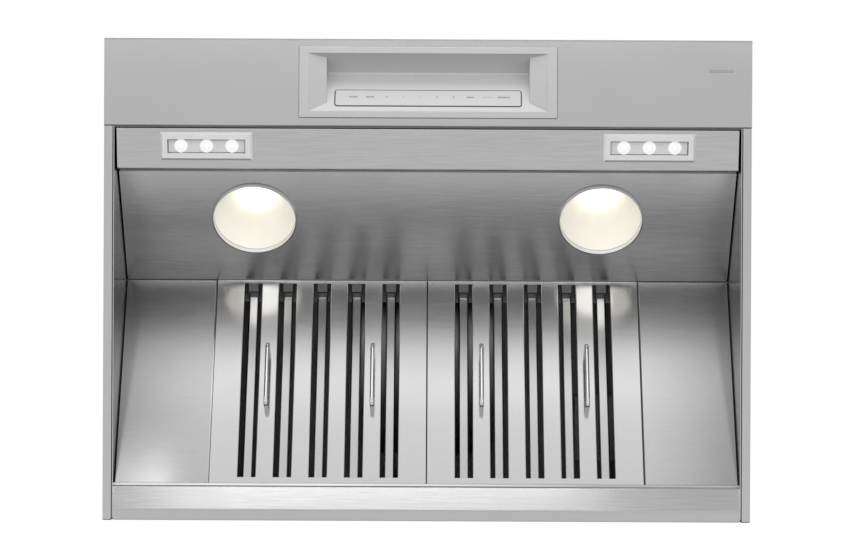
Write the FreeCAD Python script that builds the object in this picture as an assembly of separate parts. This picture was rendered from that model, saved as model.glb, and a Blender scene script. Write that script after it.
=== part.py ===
import FreeCAD
import Part
import math
import os

from FreeCAD import Placement, Rotation, Vector

# A wall mounted range hood in folded stainless sheet. Everything is drawn in millimetres with the open
# rim at z = 0, the wall at y = 0 and the front towards -y, and is then lowered so that the origin
# lies at the centre of the four wall holes.

# Outer shell
hood_width = 914.0
hood_depth = 680.0
hood_height = 457.0
top_depth = 305.0
front_height = 70.0
sheet = 1.2
bend_radius = 1.5
lip_depth = 124.0
lip_return = 20.0
rim_flange = 13.0
rim_hem = 10.0
rear_flange = 14.5
skin_leg = 30.0
slope_flange = 22.0

# Wall holes
wall_hole_inset = 50.6
wall_hole_rise = 200.0
wall_hole_height = 300.0
wall_hole_radius = 4.0

# Clearances
hem_gap = 0.6
rim_recess = 0.4
panel_gap = 2.0
rail_gap = 3.0
seam_gap = 1.5
seat_gap = 0.3
side_gap = 1.2
filler_gap = 0.6
filter_head_gap = 0.6
filter_foot_gap = 0.7
tray_gap = 0.7
fit_gap = 0.3
running_gap = 0.05

# Liner section
rail_run = 58.5
rail_rise = 13.0
rail_leg = 24.0
rail_lap = 12.0
lamp_foot_height = 42.0
apex_depth = 339.0
apex_height = 165.0
apex_flange = 26.0
filter_foot_depth = 51.5
filter_foot_height = 12.0
liner_rear_height = 110.0
liner_cover = 55.0

# Filter rails
beam_sheet = 2.0
beam_lift = 8.0
stop_overlap = 18.0
rear_rail_leg = 40.0
tie_width = 16.0

# Grease trough
trough_front_depth = 48.4
trough_front_height = 10.5
trough_hem = 5.0
trough_lap = 10.0
trough_roll_radius = 2.0
trough_roll_rise = 1.0
trough_roll_sink = 0.5

# Baffle filters
filter_width = 306.5
filter_depth = 34.0
filter_sheet = 1.0
filter_split = 2.0
filter_lip = 8.0
slot_count = 5
slot_pitch = 50.5
slot_width = 25.0
slot_lip = 7.0
slot_bend = 1.5
slot_top_margin = 5.0
slot_foot_margin = 9.0
baffle_width = 14.5
baffle_setback = 20.0
baffle_leg = 12.0
tongue_width = 14.0
tongue_run = 8.5
tongue_depth = 10.0
weep_length = 24.0
weep_height = 4.0
handle_span = 96.0
handle_radius = 3.0
handle_rise = 25.0
handle_bend = 9.0
handle_slot_count = 3

# Filter clips
clip_places = (0.3, 0.7)
clip_length = 40.0
clip_width = 12.0
clip_sheet = 0.8
clip_nose = 4.0

# Control recess
bezel_width = 364.0
bezel_depth = 100.0
bezel_offset = 61.0
bezel_plate = 1.2
bezel_wall = 2.5
bezel_edge = 0.8
recess_width = 337.0
recess_inner_width = 287.0
recess_front = 25.5
recess_rear = 56.5
recess_height = 40.0
recess_chamfer_height = 8.8
valley_bend = 2.5
glass_width = 262.0
glass_height = 27.0
glass_thick = 2.0
glass_proud = 0.5
glass_from_valley = 45.3
glass_corner = 3.0
board_thick = 1.6
touch_board_margin = 4.0
module_width = 150.0
module_height = 36.0
module_thick = 20.0
module_corner = 3.0

# Strip lights in the light rail
led_offset = 312.8
led_from_front = 27.0
led_width = 130.0
led_height = 40.0
led_proud = 4.0
led_bevel = 3.0
led_window_width = 110.0
led_window_height = 20.0
led_skirt_wall = 2.0
led_skirt = 10.0
led_tray_depth = 2.0
led_tray_thick = 2.0
led_lens_count = 3
led_lens_pitch = 36.0
led_lens_radius = 9.6
led_lens_edge = 1.5
led_lens_dome = 2.5
led_board_margin = 1.5

# Round lamps in the lamp panel
lamp_offset = 250.0
lamp_from_foot = 86.0
lamp_mouth_radius = 58.4
lamp_neck_radius = 29.0
lamp_sheet = 0.8
lamp_mouth_height = 3.0
lamp_cone_height = 55.0
lamp_neck_height = 34.0
lamp_proud = 4.0
lamp_flange = 9.0
trim_width = 1.9
trim_height = 4.5
trim_round = 0.8
bulb_radius = 24.5
bulb_dome = 4.0
bulb_rim = 3.0
bulb_start = 54.0
bulb_taper = 26.0
bulb_base_radius = 11.0
bulb_base_sink = 12.0
socket_radius = 18.0
socket_height = 26.0

# Blower
blower_rise = 120.0
blower_width = 196.0
wheel_radius = 92.0
wheel_inner_radius = 76.0
wheel_width = 170.0
wheel_ring = 2.0
wheel_blades = 30
blade_sheet = 1.0
blade_sweep = 12.0
blade_belly = 3.0
scroll_gap = 16.0
scroll_step = 14.0
inlet_radius = 73.0
outlet_flange = 12.0
motor_radius = 48.0
motor_length = 78.0
motor_edge = 4.0
shaft_radius = 4.0
shaft_in_motor = 40.0
hub_radius = 14.0
hub_length = 24.0
spider_hub_radius = 34.0
spider_bore_radius = 18.0
spider_arm_width = 14.0
spider_overlap = 15.0
spider_arms = 3

# Duct collar and its backdraft flaps
collar_radius = 127.0
collar_sheet = 0.8
collar_height = 50.0
collar_flange = 13.0
collar_ledge = 7.0
flap_height = 22.0
flap_sheet = 1.0
flap_margin = 4.2
flap_pin_radius = 2.0
flap_pin_pitch = 10.0
flap_knuckle = 1.4

# Electrical boxes
junction_offset = 290.0
junction_width = 120.0
junction_depth = 100.0
junction_height = 55.0
junction_from_wall = 60.0
conduit_radius = 11.0
driver_offset = -260.0
driver_width = 140.0
driver_depth = 34.0
driver_height = 60.0
driver_lift = 215.0
box_corner = 3.0

# Screws
screw_radius = 2.0
screw_head_radius = 4.0
screw_head = 2.4
screw_length = 8.0
top_screw_pitch = 150.0
top_screw_count = 6
collar_screw_count = 6
screw_from_edge = 11.0

# Places worked out from the sizes above
half_width = hood_width / 2
skin_x = half_width - sheet
hem_x = half_width - rim_flange
wall_x = hem_x - hem_gap - sheet
panel_x = wall_x - panel_gap
rail_x = wall_x - rail_gap
top_z = hood_height - sheet
front_y = -hood_depth
lip_y = front_y + lip_depth
rail_front_y = lip_y + seam_gap
rail_back_y = rail_front_y + rail_run
slope_rise = (hood_height - front_height) / (hood_depth - top_depth)
rail_angle = math.atan2(rail_rise, rail_run)
lamp_angle = math.atan2(apex_height - lamp_foot_height, -apex_depth - rail_back_y)
filter_angle = math.atan2(apex_height - filter_foot_height, apex_depth - filter_foot_depth)
filter_run = math.hypot(apex_height - filter_foot_height, apex_depth - filter_foot_depth)
filter_start = filter_head_gap
filter_length = filter_run - filter_start - filter_foot_gap
filter_inner_x = filter_split / 2
filter_mid_x = filter_inner_x + filter_width / 2
filler_x = filter_inner_x + filter_width + filler_gap
wall_hole_x = half_width - wall_hole_inset
collar_y = -top_depth / 2
collar_bore = collar_radius - collar_sheet
flap_z = hood_height + flap_height
scroll_radius = wheel_radius + scroll_gap
outlet_depth = scroll_step + scroll_radius + 2 * scroll_step
scroll_y = collar_y - outlet_depth / 2
scroll_z = apex_height + blower_rise
wheel_y = scroll_y + scroll_step / 2
wheel_z = scroll_z + scroll_step / 2
bezel_y = front_y + bezel_offset
recess_front_y = bezel_y - (recess_front + recess_rear) / 2
valley_y = recess_front_y + recess_front
recess_rear_y = valley_y + recess_rear
recess_angle = math.atan2(recess_height, recess_rear)


def block(x0, x1, y0, y1, z0, z1):
    return Part.makeBox(x1 - x0, y1 - y0, z1 - z0, Vector(x0, y0, z0))


def rod(start, direction, radius, length):
    return Part.makeCylinder(radius, length, start, direction)


def fused(first, others):
    return first.fuse(others).removeSplitter()


def mirrored(shape):
    return shape.mirror(Vector(0, 0, 0), Vector(1, 0, 0))


def leaning(shape, y, z, angle):
    placed = shape.copy()
    lean = Placement(Vector(0, y, z), Rotation(Vector(1, 0, 0), math.degrees(angle)))
    placed.Placement = lean.multiply(placed.Placement)
    return placed


def on_rail(shape):
    return leaning(shape, rail_front_y, rim_recess, rail_angle)


def on_lamp_panel(shape):
    return leaning(shape, rail_back_y, lamp_foot_height, lamp_angle)


def on_filter(shape):
    return leaning(shape, -apex_depth, apex_height, -filter_angle)


def on_recess(shape):
    return leaning(shape, valley_y, recess_height, -recess_angle)


def rounded_face(corners, radii):
    joints = []
    for index, corner in enumerate(corners):
        before = (corners[index - 1] - corner).normalize()
        after = (corners[(index + 1) % len(corners)] - corner).normalize()
        half = before.getAngle(after) / 2
        reach = radii[index] / math.tan(half)
        bow = radii[index] / math.sin(half) - radii[index]
        middle = corner + (before + after).normalize() * bow
        joints.append((corner + before * reach, middle, corner + after * reach))
    edges = []
    for index, (start, middle, end) in enumerate(joints):
        edges.append(Part.LineSegment(joints[index - 1][2], start).toShape())
        if radii[index] > 0:
            edges.append(Part.Arc(start, middle, end).toShape())
    return Part.Face(Part.Wire(edges))


def in_plane(points, plane):
    if plane == "xz":
        return [Vector(u, 0, v) for u, v in points]
    return [Vector(0, u, v) for u, v in points]


def folded(line, thick, plane="yz"):
    """A folded sheet's section. A positive thickness lies to the left of the line."""
    ways = []
    for (u0, v0), (u1, v1) in zip(line, line[1:]):
        run = math.hypot(u1 - u0, v1 - v0)
        ways.append(((u1 - u0) / run, (v1 - v0) / run))
    other = []
    radii = []
    other_radii = []
    for index, (u, v) in enumerate(line):
        du0, dv0 = ways[max(index - 1, 0)]
        du1, dv1 = ways[min(index, len(ways) - 1)]
        stretch = thick / (1 + du0 * du1 + dv0 * dv1)
        other.append((u - (dv0 + dv1) * stretch, v + (du0 + du1) * stretch))
        turn = (du0 * dv1 - dv0 * du1) * thick
        at_end = index in (0, len(line) - 1)
        inside = 0 if at_end else bend_radius
        outside = 0 if at_end else bend_radius + abs(thick)
        radii.append(outside if turn > 0 else inside)
        other_radii.append(inside if turn > 0 else outside)
    corners = in_plane(line + other[::-1], plane)
    return rounded_face(corners, radii + other_radii[::-1])


def across(face, x0, x1):
    moved = face.copy()
    moved.translate(Vector(x0, 0, 0))
    return moved.extrude(Vector(x1 - x0, 0, 0))


def along(face, y0, y1):
    moved = face.copy()
    moved.translate(Vector(0, y0, 0))
    return moved.extrude(Vector(0, y1 - y0, 0))


def side_plate(points, x0, x1, radii=None):
    return across(rounded_face(in_plane(points, "yz"), radii or [0] * len(points)), x0, x1)


def turned(points, axis=Vector(0, 0, 1)):
    wire = Part.makePolygon(in_plane(points + points[:1], "xz"))
    return Part.Face(wire).revolve(Vector(0, 0, 0), axis, 360)


def filter_point(run, depth):
    """A point of the filter plane, run down from the apex and depth behind its face."""
    y = -apex_depth + run * math.cos(filter_angle) + depth * math.sin(filter_angle)
    z = apex_height - run * math.sin(filter_angle) + depth * math.cos(filter_angle)
    return y, z


def stop_run_at(y):
    """How far down from the apex the filter stop plane crosses the given depth from the wall."""
    back = (filter_depth + seat_gap) * math.sin(filter_angle)
    return (y + apex_depth - back) / math.cos(filter_angle)


def screw(at, into):
    away = into * -1
    head = rod(at, away, screw_head_radius, screw_head)
    return head.fuse(rod(at, into, screw_radius, screw_length)).removeSplitter()


def screw_holes(places, into):
    return [rod(at - into * screw_length, into, screw_radius + fit_gap, 2 * screw_length) for at in places]


def top_screw_places():
    first = -top_screw_pitch * (top_screw_count - 1) / 2
    y = -top_depth + screw_from_edge
    return [Vector(first + index * top_screw_pitch, y, hood_height) for index in range(top_screw_count)]


def collar_screw_places():
    radius = collar_radius + collar_flange / 2
    turns = [2 * math.pi * index / collar_screw_count for index in range(collar_screw_count)]
    z = hood_height + sheet
    return [Vector(radius * math.cos(t), collar_y + radius * math.sin(t), z) for t in turns]


def spider_screw_places():
    radius = inlet_radius + spider_overlap / 2
    turns = [2 * math.pi * index / spider_arms for index in range(spider_arms)]
    x = -blower_width / 2 - beam_sheet
    return [Vector(x, wheel_y + radius * math.sin(t), wheel_z + radius * math.cos(t)) for t in turns]


def right_side_skin():
    knee_z = front_height + sheet * slope_rise
    outline = [
        (0, skin_leg),
        (0, hood_height),
        (-top_depth, hood_height),
        (front_y + sheet, knee_z),
        (front_y + sheet, sheet),
        (lip_y, sheet),
        (lip_y, skin_leg),
    ]
    plate = side_plate(outline, skin_x, half_width, [0, 0, 0, 0, bend_radius, 0, 0])
    rim = [(half_width, skin_leg), (half_width, 0), (hem_x, 0), (hem_x, rim_hem)]
    return fused(plate, along(folded(rim, -sheet, "xz"), lip_y, 0))


def front_lip():
    line = [(lip_y, lip_return), (lip_y, 0), (front_y, 0), (front_y, front_height)]
    lip = across(folded(line, -sheet), -half_width, half_width)
    cuts = [recess_cutout()]
    for side in (-1, 1):
        x0, x1 = sorted((side * (wall_x - fit_gap), side * (half_width + sheet)))
        cuts.append(block(x0, x1, lip_y - sheet - bend_radius, lip_y + sheet, sheet, lip_return + sheet))
    return lip.cut(cuts)


def recess_reach(grow):
    """Where the valley's front and rear walls, moved out by grow, cross the rim plane."""
    front = recess_front_y - grow * math.hypot(recess_front, recess_height) / recess_height
    rear = recess_rear_y + grow * math.hypot(recess_rear, recess_height) / recess_height
    return front, rear


def recess_cutout():
    x = recess_width / 2 + bezel_wall + fit_gap
    front, rear = recess_reach(bezel_wall)
    return block(-x, x, front - fit_gap, rear + fit_gap, -sheet, 2 * sheet)


def canopy_slope():
    knee_z = front_height + sheet * slope_rise
    crest_y = -top_depth - sheet / slope_rise
    line = [
        (front_y + sheet, knee_z - slope_flange),
        (front_y + sheet, knee_z),
        (crest_y, top_z),
        (crest_y + slope_flange, top_z),
    ]
    slope = across(folded(line, -sheet), -skin_x, skin_x)
    return slope.cut(screw_holes(top_screw_places(), Vector(0, 0, -1)))


def top_panel():
    panel = block(-skin_x, skin_x, -top_depth, 0, top_z, hood_height)
    duct = rod(Vector(0, collar_y, top_z - sheet), Vector(0, 0, 1), collar_bore, 3 * sheet)
    places = top_screw_places() + collar_screw_places()
    return panel.cut([duct, conduit_hole()] + screw_holes(places, Vector(0, 0, -1)))


def back_panel():
    line = [(0, top_z), (0, 0), (-rear_flange, 0)]
    panel = across(folded(line, -sheet), -skin_x, skin_x)
    cuts = []
    for side in (-1, 1):
        x0, x1 = sorted((side * (wall_x - fit_gap), side * half_width))
        cuts.append(block(x0, x1, -rear_flange - sheet, sheet, -sheet, rim_hem + sheet))
        for level in (-1, 1):
            at = Vector(side * wall_hole_x, sheet, wall_hole_height + level * wall_hole_rise / 2)
            cuts.append(rod(at, Vector(0, -1, 0), wall_hole_radius, 3 * sheet))
    return panel.cut(cuts)


def right_inner_wall():
    outline = [
        (lip_y + fit_gap, rim_recess),
        (-sheet, rim_recess),
        (-sheet, liner_rear_height),
        (-apex_depth, apex_height + liner_cover),
        (rail_back_y, lamp_foot_height + liner_cover),
        (lip_y + fit_gap, liner_cover),
    ]
    return side_plate(outline, wall_x, wall_x + sheet)


def light_rail():
    lap_z = lamp_foot_height + sheet / math.cos(lamp_angle)
    line = [
        (rail_front_y, rim_recess + rail_leg),
        (rail_front_y, rim_recess),
        (rail_back_y, rim_recess + rail_rise),
        (rail_back_y, lap_z),
        (rail_back_y + rail_lap * math.cos(lamp_angle), lap_z + rail_lap * math.sin(lamp_angle)),
    ]
    rail = across(folded(line, sheet), -rail_x, rail_x)
    reach_x = led_window_width / 2 + led_skirt_wall + fit_gap
    reach_y = led_window_height / 2 + led_skirt_wall + fit_gap
    openings = []
    for side in (-1, 1):
        x = side * led_offset
        hole = block(
            x - reach_x, x + reach_x, led_from_front - reach_y, led_from_front + reach_y, -sheet, 2 * sheet
        )
        openings.append(on_rail(hole))
    return rail.cut(openings)


def lamp_panel():
    start = sheet + bend_radius
    foot_y = rail_back_y + start * math.cos(lamp_angle)
    foot_z = lamp_foot_height + start * math.sin(lamp_angle)
    line = [(foot_y, foot_z), (-apex_depth, apex_height), (-apex_depth, apex_height + apex_flange)]
    panel = across(folded(line, sheet), -panel_x, panel_x)
    radius = lamp_mouth_radius + lamp_sheet + fit_gap
    holes = []
    for side in (-1, 1):
        at = Vector(side * lamp_offset, lamp_from_foot, -sheet)
        holes.append(on_lamp_panel(rod(at, Vector(0, 0, 1), radius, 3 * sheet)))
    return panel.cut(holes)


def apex_beam():
    web_y = -apex_depth + beam_sheet
    top_run = stop_run_at(web_y)
    depth = filter_depth + seat_gap
    line = [
        (web_y, apex_height + beam_lift),
        filter_point(top_run, depth),
        filter_point(stop_overlap, depth),
    ]
    return across(folded(line, beam_sheet), -wall_x, wall_x)


def rear_rail():
    depth = filter_depth + seat_gap
    foot = filter_point(stop_run_at(-sheet), depth)
    line = [(-sheet, foot[1] + rear_rail_leg), foot, filter_point(filter_run - stop_overlap, depth)]
    return across(folded(line, -beam_sheet), -wall_x, wall_x)


def filter_tie():
    depth = filter_depth + seat_gap + beam_sheet
    bar = block(-tie_width / 2, tie_width / 2, 0, filter_run, depth, depth + beam_sheet)
    return on_filter(bar)


def right_filler():
    line = [(panel_x, 0), (filler_x, 0), (filler_x, filter_depth)]
    filler = along(folded(line, -sheet, "xz"), side_gap, filter_start + filter_length)
    windows = []
    for place in clip_places:
        y = place * filter_run
        half = clip_nose / 2 + fit_gap
        mid = filter_depth / 2
        windows.append(
            block(filler_x - sheet, filler_x + 2 * sheet, y - half, y + half, mid - half, mid + half)
        )
    return on_filter(filler.cut(windows))


def right_clips():
    clips = []
    for place in clip_places:
        y = place * filter_run
        mid = filter_depth / 2
        back = filler_x + sheet
        leaf = block(
            back,
            back + clip_sheet,
            y - clip_length / 2,
            y + clip_length / 2,
            mid - clip_width / 2,
            mid + clip_width / 2,
        )
        nose_x = filter_inner_x + filter_width + seat_gap
        half = clip_nose / 2
        nose = block(nose_x, back, y - half, y + half, mid - half, mid + half)
        tip = [edge for edge in nose.Edges if edge.BoundBox.XMax < (nose_x + back) / 2]
        nose = nose.makeChamfer(min(filler_gap, clip_nose) / 3, tip)
        clips.append(on_filter(fused(leaf, [nose])))
    return clips


def grease_trough():
    line = [
        (-trough_front_depth, trough_front_height + trough_hem),
        (-trough_front_depth, trough_front_height),
        (-rear_flange - bend_radius, sheet),
        (trough_lap - rear_flange, sheet),
    ]
    roll_y = trough_roll_sink - trough_front_depth - trough_roll_radius
    roll_z = trough_front_height + trough_roll_rise
    roll = rod(Vector(-wall_x, roll_y, roll_z), Vector(1, 0, 0), trough_roll_radius, 2 * wall_x)
    return fused(across(folded(line, sheet), -wall_x, wall_x), [roll])


def recess_prism(width, grow):
    """The valley's wedge, with its two long walls moved out by grow."""
    front, rear = recess_reach(grow)
    ratio = (rear - front) / (recess_rear_y - recess_front_y)
    peak_y = front + recess_front * ratio
    corners = in_plane([(front, 0), (peak_y, recess_height * ratio), (rear, 0)], "yz")
    face = rounded_face(corners, [0, valley_bend + grow, 0])
    return across(face, -width / 2, width / 2)


def control_bezel():
    half_x = bezel_width / 2
    half_y = bezel_depth / 2
    plate = block(-half_x, half_x, bezel_y - half_y, bezel_y + half_y, -bezel_plate, 0)
    plate = plate.makeFillet(bezel_edge, [edge for edge in plate.Edges if edge.BoundBox.ZMax < 0])
    front, rear = recess_reach(bezel_wall)
    end_top = recess_chamfer_height + bezel_wall
    end_x = recess_width / 2 + bezel_wall
    right_end = block(recess_inner_width / 2, end_x, front, rear, -bezel_plate, end_top)
    valley = recess_prism(recess_inner_width + 2 * bezel_wall, bezel_wall)
    chamfer = [
        (-recess_width / 2, -bezel_plate),
        (-recess_width / 2, 0),
        (-recess_inner_width / 2, recess_chamfer_height),
        (recess_inner_width / 2, recess_chamfer_height),
        (recess_width / 2, 0),
        (recess_width / 2, -bezel_plate),
    ]
    ends = along(rounded_face(in_plane(chamfer, "xz"), [0] * len(chamfer)), recess_front_y, recess_rear_y)
    mouth = block(
        -recess_width / 2, recess_width / 2, recess_front_y, recess_rear_y, -2 * bezel_plate, 0
    )
    hollow = recess_prism(recess_width, 0).common(ends)
    body = fused(plate, [right_end, mirrored(right_end), valley])
    return body.cut([recess_prism(recess_inner_width, 0), hollow, mouth, glass_block(fit_gap, 0)])


def glass_block(clearance, proud):
    half = glass_height / 2 + clearance
    x = glass_width / 2 + clearance
    sink = glass_thick - glass_proud
    pane = block(-x, x, glass_from_valley - half, glass_from_valley + half, -proud, sink)
    corners = [edge for edge in pane.Edges if edge.BoundBox.ZLength > sink / 2]
    return on_recess(pane.makeFillet(glass_corner + clearance, corners))


def touch_board():
    x = glass_width / 2 - touch_board_margin
    half = glass_height / 2
    return on_recess(
        block(-x, x, glass_from_valley - half, glass_from_valley + half, bezel_wall, bezel_wall + board_thick)
    )


def control_module():
    half = module_height / 2
    start = bezel_wall + board_thick
    x = module_width / 2
    case = block(-x, x, glass_from_valley - half, glass_from_valley + half, start, start + module_thick)
    return on_recess(case.makeFillet(module_corner, case.Edges))


def led_frame():
    x = led_width / 2
    y = led_height / 2
    body = block(-x, x, -y, y, -led_proud, 0)
    front = [edge for edge in body.Edges if edge.BoundBox.ZMax < -led_proud / 2]
    body = body.makeChamfer(led_bevel, front)
    window_x = led_window_width / 2
    window_y = led_window_height / 2
    skirt_x = window_x + led_skirt_wall
    skirt_y = window_y + led_skirt_wall
    body = fused(body, [block(-skirt_x, skirt_x, -skirt_y, skirt_y, 0, led_skirt)])
    return body.cut(block(-window_x, window_x, -window_y, window_y, -2 * led_proud, 2 * led_skirt))


def led_tray():
    x = led_window_width / 2 - tray_gap
    y = led_window_height / 2 - tray_gap
    return block(-x, x, -y, y, led_tray_depth, led_tray_depth + led_tray_thick)


def led_board():
    x = led_window_width / 2 - led_board_margin
    y = led_window_height / 2 - led_board_margin
    start = led_tray_depth + led_tray_thick
    return block(-x, x, -y, y, start, start + board_thick)


def led_lens():
    dome_z = led_tray_depth - led_lens_edge
    edges = [
        Part.LineSegment(Vector(0, 0, led_tray_depth), Vector(led_lens_radius, 0, led_tray_depth)),
        Part.LineSegment(Vector(led_lens_radius, 0, led_tray_depth), Vector(led_lens_radius, 0, dome_z)),
        dome_arc(led_lens_radius, dome_z, led_lens_dome),
        Part.LineSegment(Vector(0, 0, dome_z - led_lens_dome), Vector(0, 0, led_tray_depth)),
    ]
    face = Part.Face(Part.Wire([edge.toShape() for edge in edges]))
    return face.revolve(Vector(0, 0, 0), Vector(0, 0, 1), 360)


def dome_arc(radius, z, dome):
    """An arc from the rim of a shallow dome to its crown, which points to -z."""
    sphere = (radius * radius + dome * dome) / (2 * dome)
    half = math.asin(radius / sphere) / 2
    middle = Vector(sphere * math.sin(half), 0, z - dome + sphere * (1 - math.cos(half)))
    return Part.Arc(Vector(radius, 0, z), middle, Vector(0, 0, z - dome))


def led_lenses():
    first = -led_lens_pitch * (led_lens_count - 1) / 2
    lenses = []
    for index in range(led_lens_count):
        lens = led_lens()
        lens.translate(Vector(first + index * led_lens_pitch, 0, 0))
        lenses.append(lens)
    return lenses


def in_rail(shape):
    placed = shape.copy()
    placed.translate(Vector(led_offset, led_from_front, 0))
    return on_rail(placed)


def in_lamp_panel(shape):
    placed = shape.copy()
    placed.translate(Vector(lamp_offset, lamp_from_foot, 0))
    return on_lamp_panel(placed)


def lamp_reflector():
    cone_z = lamp_mouth_height + lamp_cone_height
    neck_z = cone_z + lamp_neck_height
    line = [
        (lamp_mouth_radius, -lamp_proud),
        (lamp_mouth_radius, lamp_mouth_height),
        (lamp_neck_radius, cone_z),
        (lamp_neck_radius, neck_z),
        (bulb_base_radius + fit_gap, neck_z),
    ]
    shell = folded(line, -lamp_sheet, "xz").revolve(Vector(0, 0, 0), Vector(0, 0, 1), 360)
    seat = lamp_mouth_radius + lamp_sheet / 2
    flange = [
        (seat, sheet),
        (lamp_mouth_radius + lamp_flange, sheet),
        (lamp_mouth_radius + lamp_flange, sheet + lamp_sheet),
        (seat, sheet + lamp_sheet),
    ]
    return fused(shell, [turned(flange)])


def lamp_trim():
    inner = lamp_mouth_radius + lamp_sheet + running_gap
    corners = [(inner, 0), (inner + trim_width, 0), (inner + trim_width, -trim_height), (inner, -trim_height)]
    section = rounded_face(in_plane(corners, "xz"), [0, 0, trim_round, trim_round])
    return section.revolve(Vector(0, 0, 0), Vector(0, 0, 1), 360)


def lamp_bulb():
    rim_z = bulb_start + bulb_dome
    shoulder_z = rim_z + bulb_rim
    base_z = shoulder_z + bulb_taper
    end_z = lamp_mouth_height + lamp_cone_height + lamp_neck_height + bulb_base_sink
    points = [
        Vector(bulb_radius, 0, rim_z),
        Vector(bulb_radius, 0, shoulder_z),
        Vector(bulb_base_radius, 0, base_z),
        Vector(bulb_base_radius, 0, end_z),
        Vector(0, 0, end_z),
        Vector(0, 0, bulb_start),
    ]
    edges = [Part.LineSegment(start, end).toShape() for start, end in zip(points, points[1:])]
    edges.append(dome_arc(bulb_radius, rim_z, bulb_dome).toShape())
    face = Part.Face(Part.Wire(Part.__sortEdges__(edges)))
    return face.revolve(Vector(0, 0, 0), Vector(0, 0, 1), 360)


def lamp_socket():
    start = lamp_mouth_height + lamp_cone_height + lamp_neck_height + lamp_sheet
    body = rod(Vector(0, 0, start), Vector(0, 0, 1), socket_radius, socket_height)
    sink = bulb_base_sink - lamp_sheet + fit_gap
    return body.cut(rod(Vector(0, 0, start), Vector(0, 0, 1), bulb_base_radius + fit_gap, sink))


def slot_places():
    first = -slot_pitch * (slot_count - 1) / 2
    return [first + index * slot_pitch for index in range(slot_count)]


def slot_cutter(start, end):
    """A slot whose long edges are rounded where the sheet folds back."""
    half = slot_width / 2
    wide = half + 2 * slot_bend
    top = slot_lip + filter_sheet
    corners = [
        (-wide, -filter_sheet),
        (wide, -filter_sheet),
        (wide, 0),
        (half, 0),
        (half, top),
        (-half, top),
        (-half, 0),
        (-wide, 0),
    ]
    return along(rounded_face(in_plane(corners, "xz"), [0, 0, 0, slot_bend, 0, 0, slot_bend, 0]), start, end)


def filter_tongue(start):
    """A tab bent back from a slot's upper end over the head of its baffle."""
    tip = start + tongue_run
    outline = [(start - filter_sheet, 0), (start, 0), (tip, tongue_depth), (tip - filter_sheet, tongue_depth)]
    return side_plate(outline, -tongue_width / 2, tongue_width / 2)


def filter_face():
    x = filter_width / 2
    end = filter_start + filter_length
    slot_start = filter_start + slot_top_margin
    slot_end = end - slot_foot_margin
    half = slot_width / 2
    lips = []
    slots = []
    tongues = []
    for place in slot_places():
        for edge in (place - half - filter_sheet, place + half):
            lips.append(block(edge, edge + filter_sheet, slot_start, slot_end, 0, slot_lip))
        for made, pieces in ((slot_cutter(slot_start, slot_end), slots), (filter_tongue(slot_start), tongues)):
            made.translate(Vector(place, 0, 0))
            pieces.append(made)
    plate = fused(block(-x, x, filter_start, end, 0, filter_sheet), lips)
    return fused(plate.cut(slots), tongues)


def filter_frame():
    x = filter_width / 2
    end = filter_start + filter_length
    body = block(-x, x, filter_start, end, filter_sheet, filter_depth)
    inner = filter_sheet
    hollow = block(
        -x + inner, x - inner, filter_start + inner, end - inner, 0, filter_depth - filter_sheet
    )
    lip = inner + filter_lip
    mouth = block(-x + lip, x - lip, filter_start + lip, end - lip, 0, 2 * filter_depth)
    cuts = [hollow, mouth]
    for place in slot_places():
        half = weep_length / 2
        low = filter_depth - filter_sheet - weep_height
        cuts.append(
            block(place - half, place + half, end - 2 * inner, end + inner, low, filter_depth - filter_sheet)
        )
    return body.cut(cuts)


def filter_baffles():
    half = baffle_width / 2
    line = [
        (-half, baffle_setback + baffle_leg),
        (-half, baffle_setback),
        (half, baffle_setback),
        (half, baffle_setback + baffle_leg),
    ]
    section = folded(line, filter_sheet, "xz")
    start = filter_start + filter_sheet
    end = filter_start + filter_length - filter_sheet
    baffles = []
    for place in slot_places():
        channel = along(section, start, end)
        channel.translate(Vector(place, 0, 0))
        baffles.append(channel)
    return baffles


def filter_handle():
    middle = filter_start + filter_length / 2
    near = middle - handle_span / 2
    turn_z = handle_bend - handle_rise
    bar_length = handle_span - 2 * handle_bend
    bar = rod(Vector(0, near + handle_bend, -handle_rise), Vector(0, 1, 0), handle_radius, bar_length)
    leg = rod(Vector(0, near, turn_z), Vector(0, 0, 1), handle_radius, -turn_z)
    section = Part.Face(Part.Wire(Part.makeCircle(handle_radius, Vector(0, near, turn_z))))
    elbow = section.revolve(Vector(0, near + handle_bend, turn_z), Vector(1, 0, 0), 90)
    ends = [leg, elbow]
    others = [piece.mirror(Vector(0, middle, 0), Vector(0, 1, 0)) for piece in ends]
    return fused(bar, ends + others)


def filter_handles():
    handles = []
    for side in (-1, 1):
        handle = filter_handle()
        handle.translate(Vector(side * handle_slot_count * slot_pitch / 2, 0, 0))
        handles.append(handle)
    return handles


def in_filter(shape, side):
    placed = shape.copy()
    placed.translate(Vector(side * filter_mid_x, 0, 0))
    return on_filter(placed)


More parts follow.
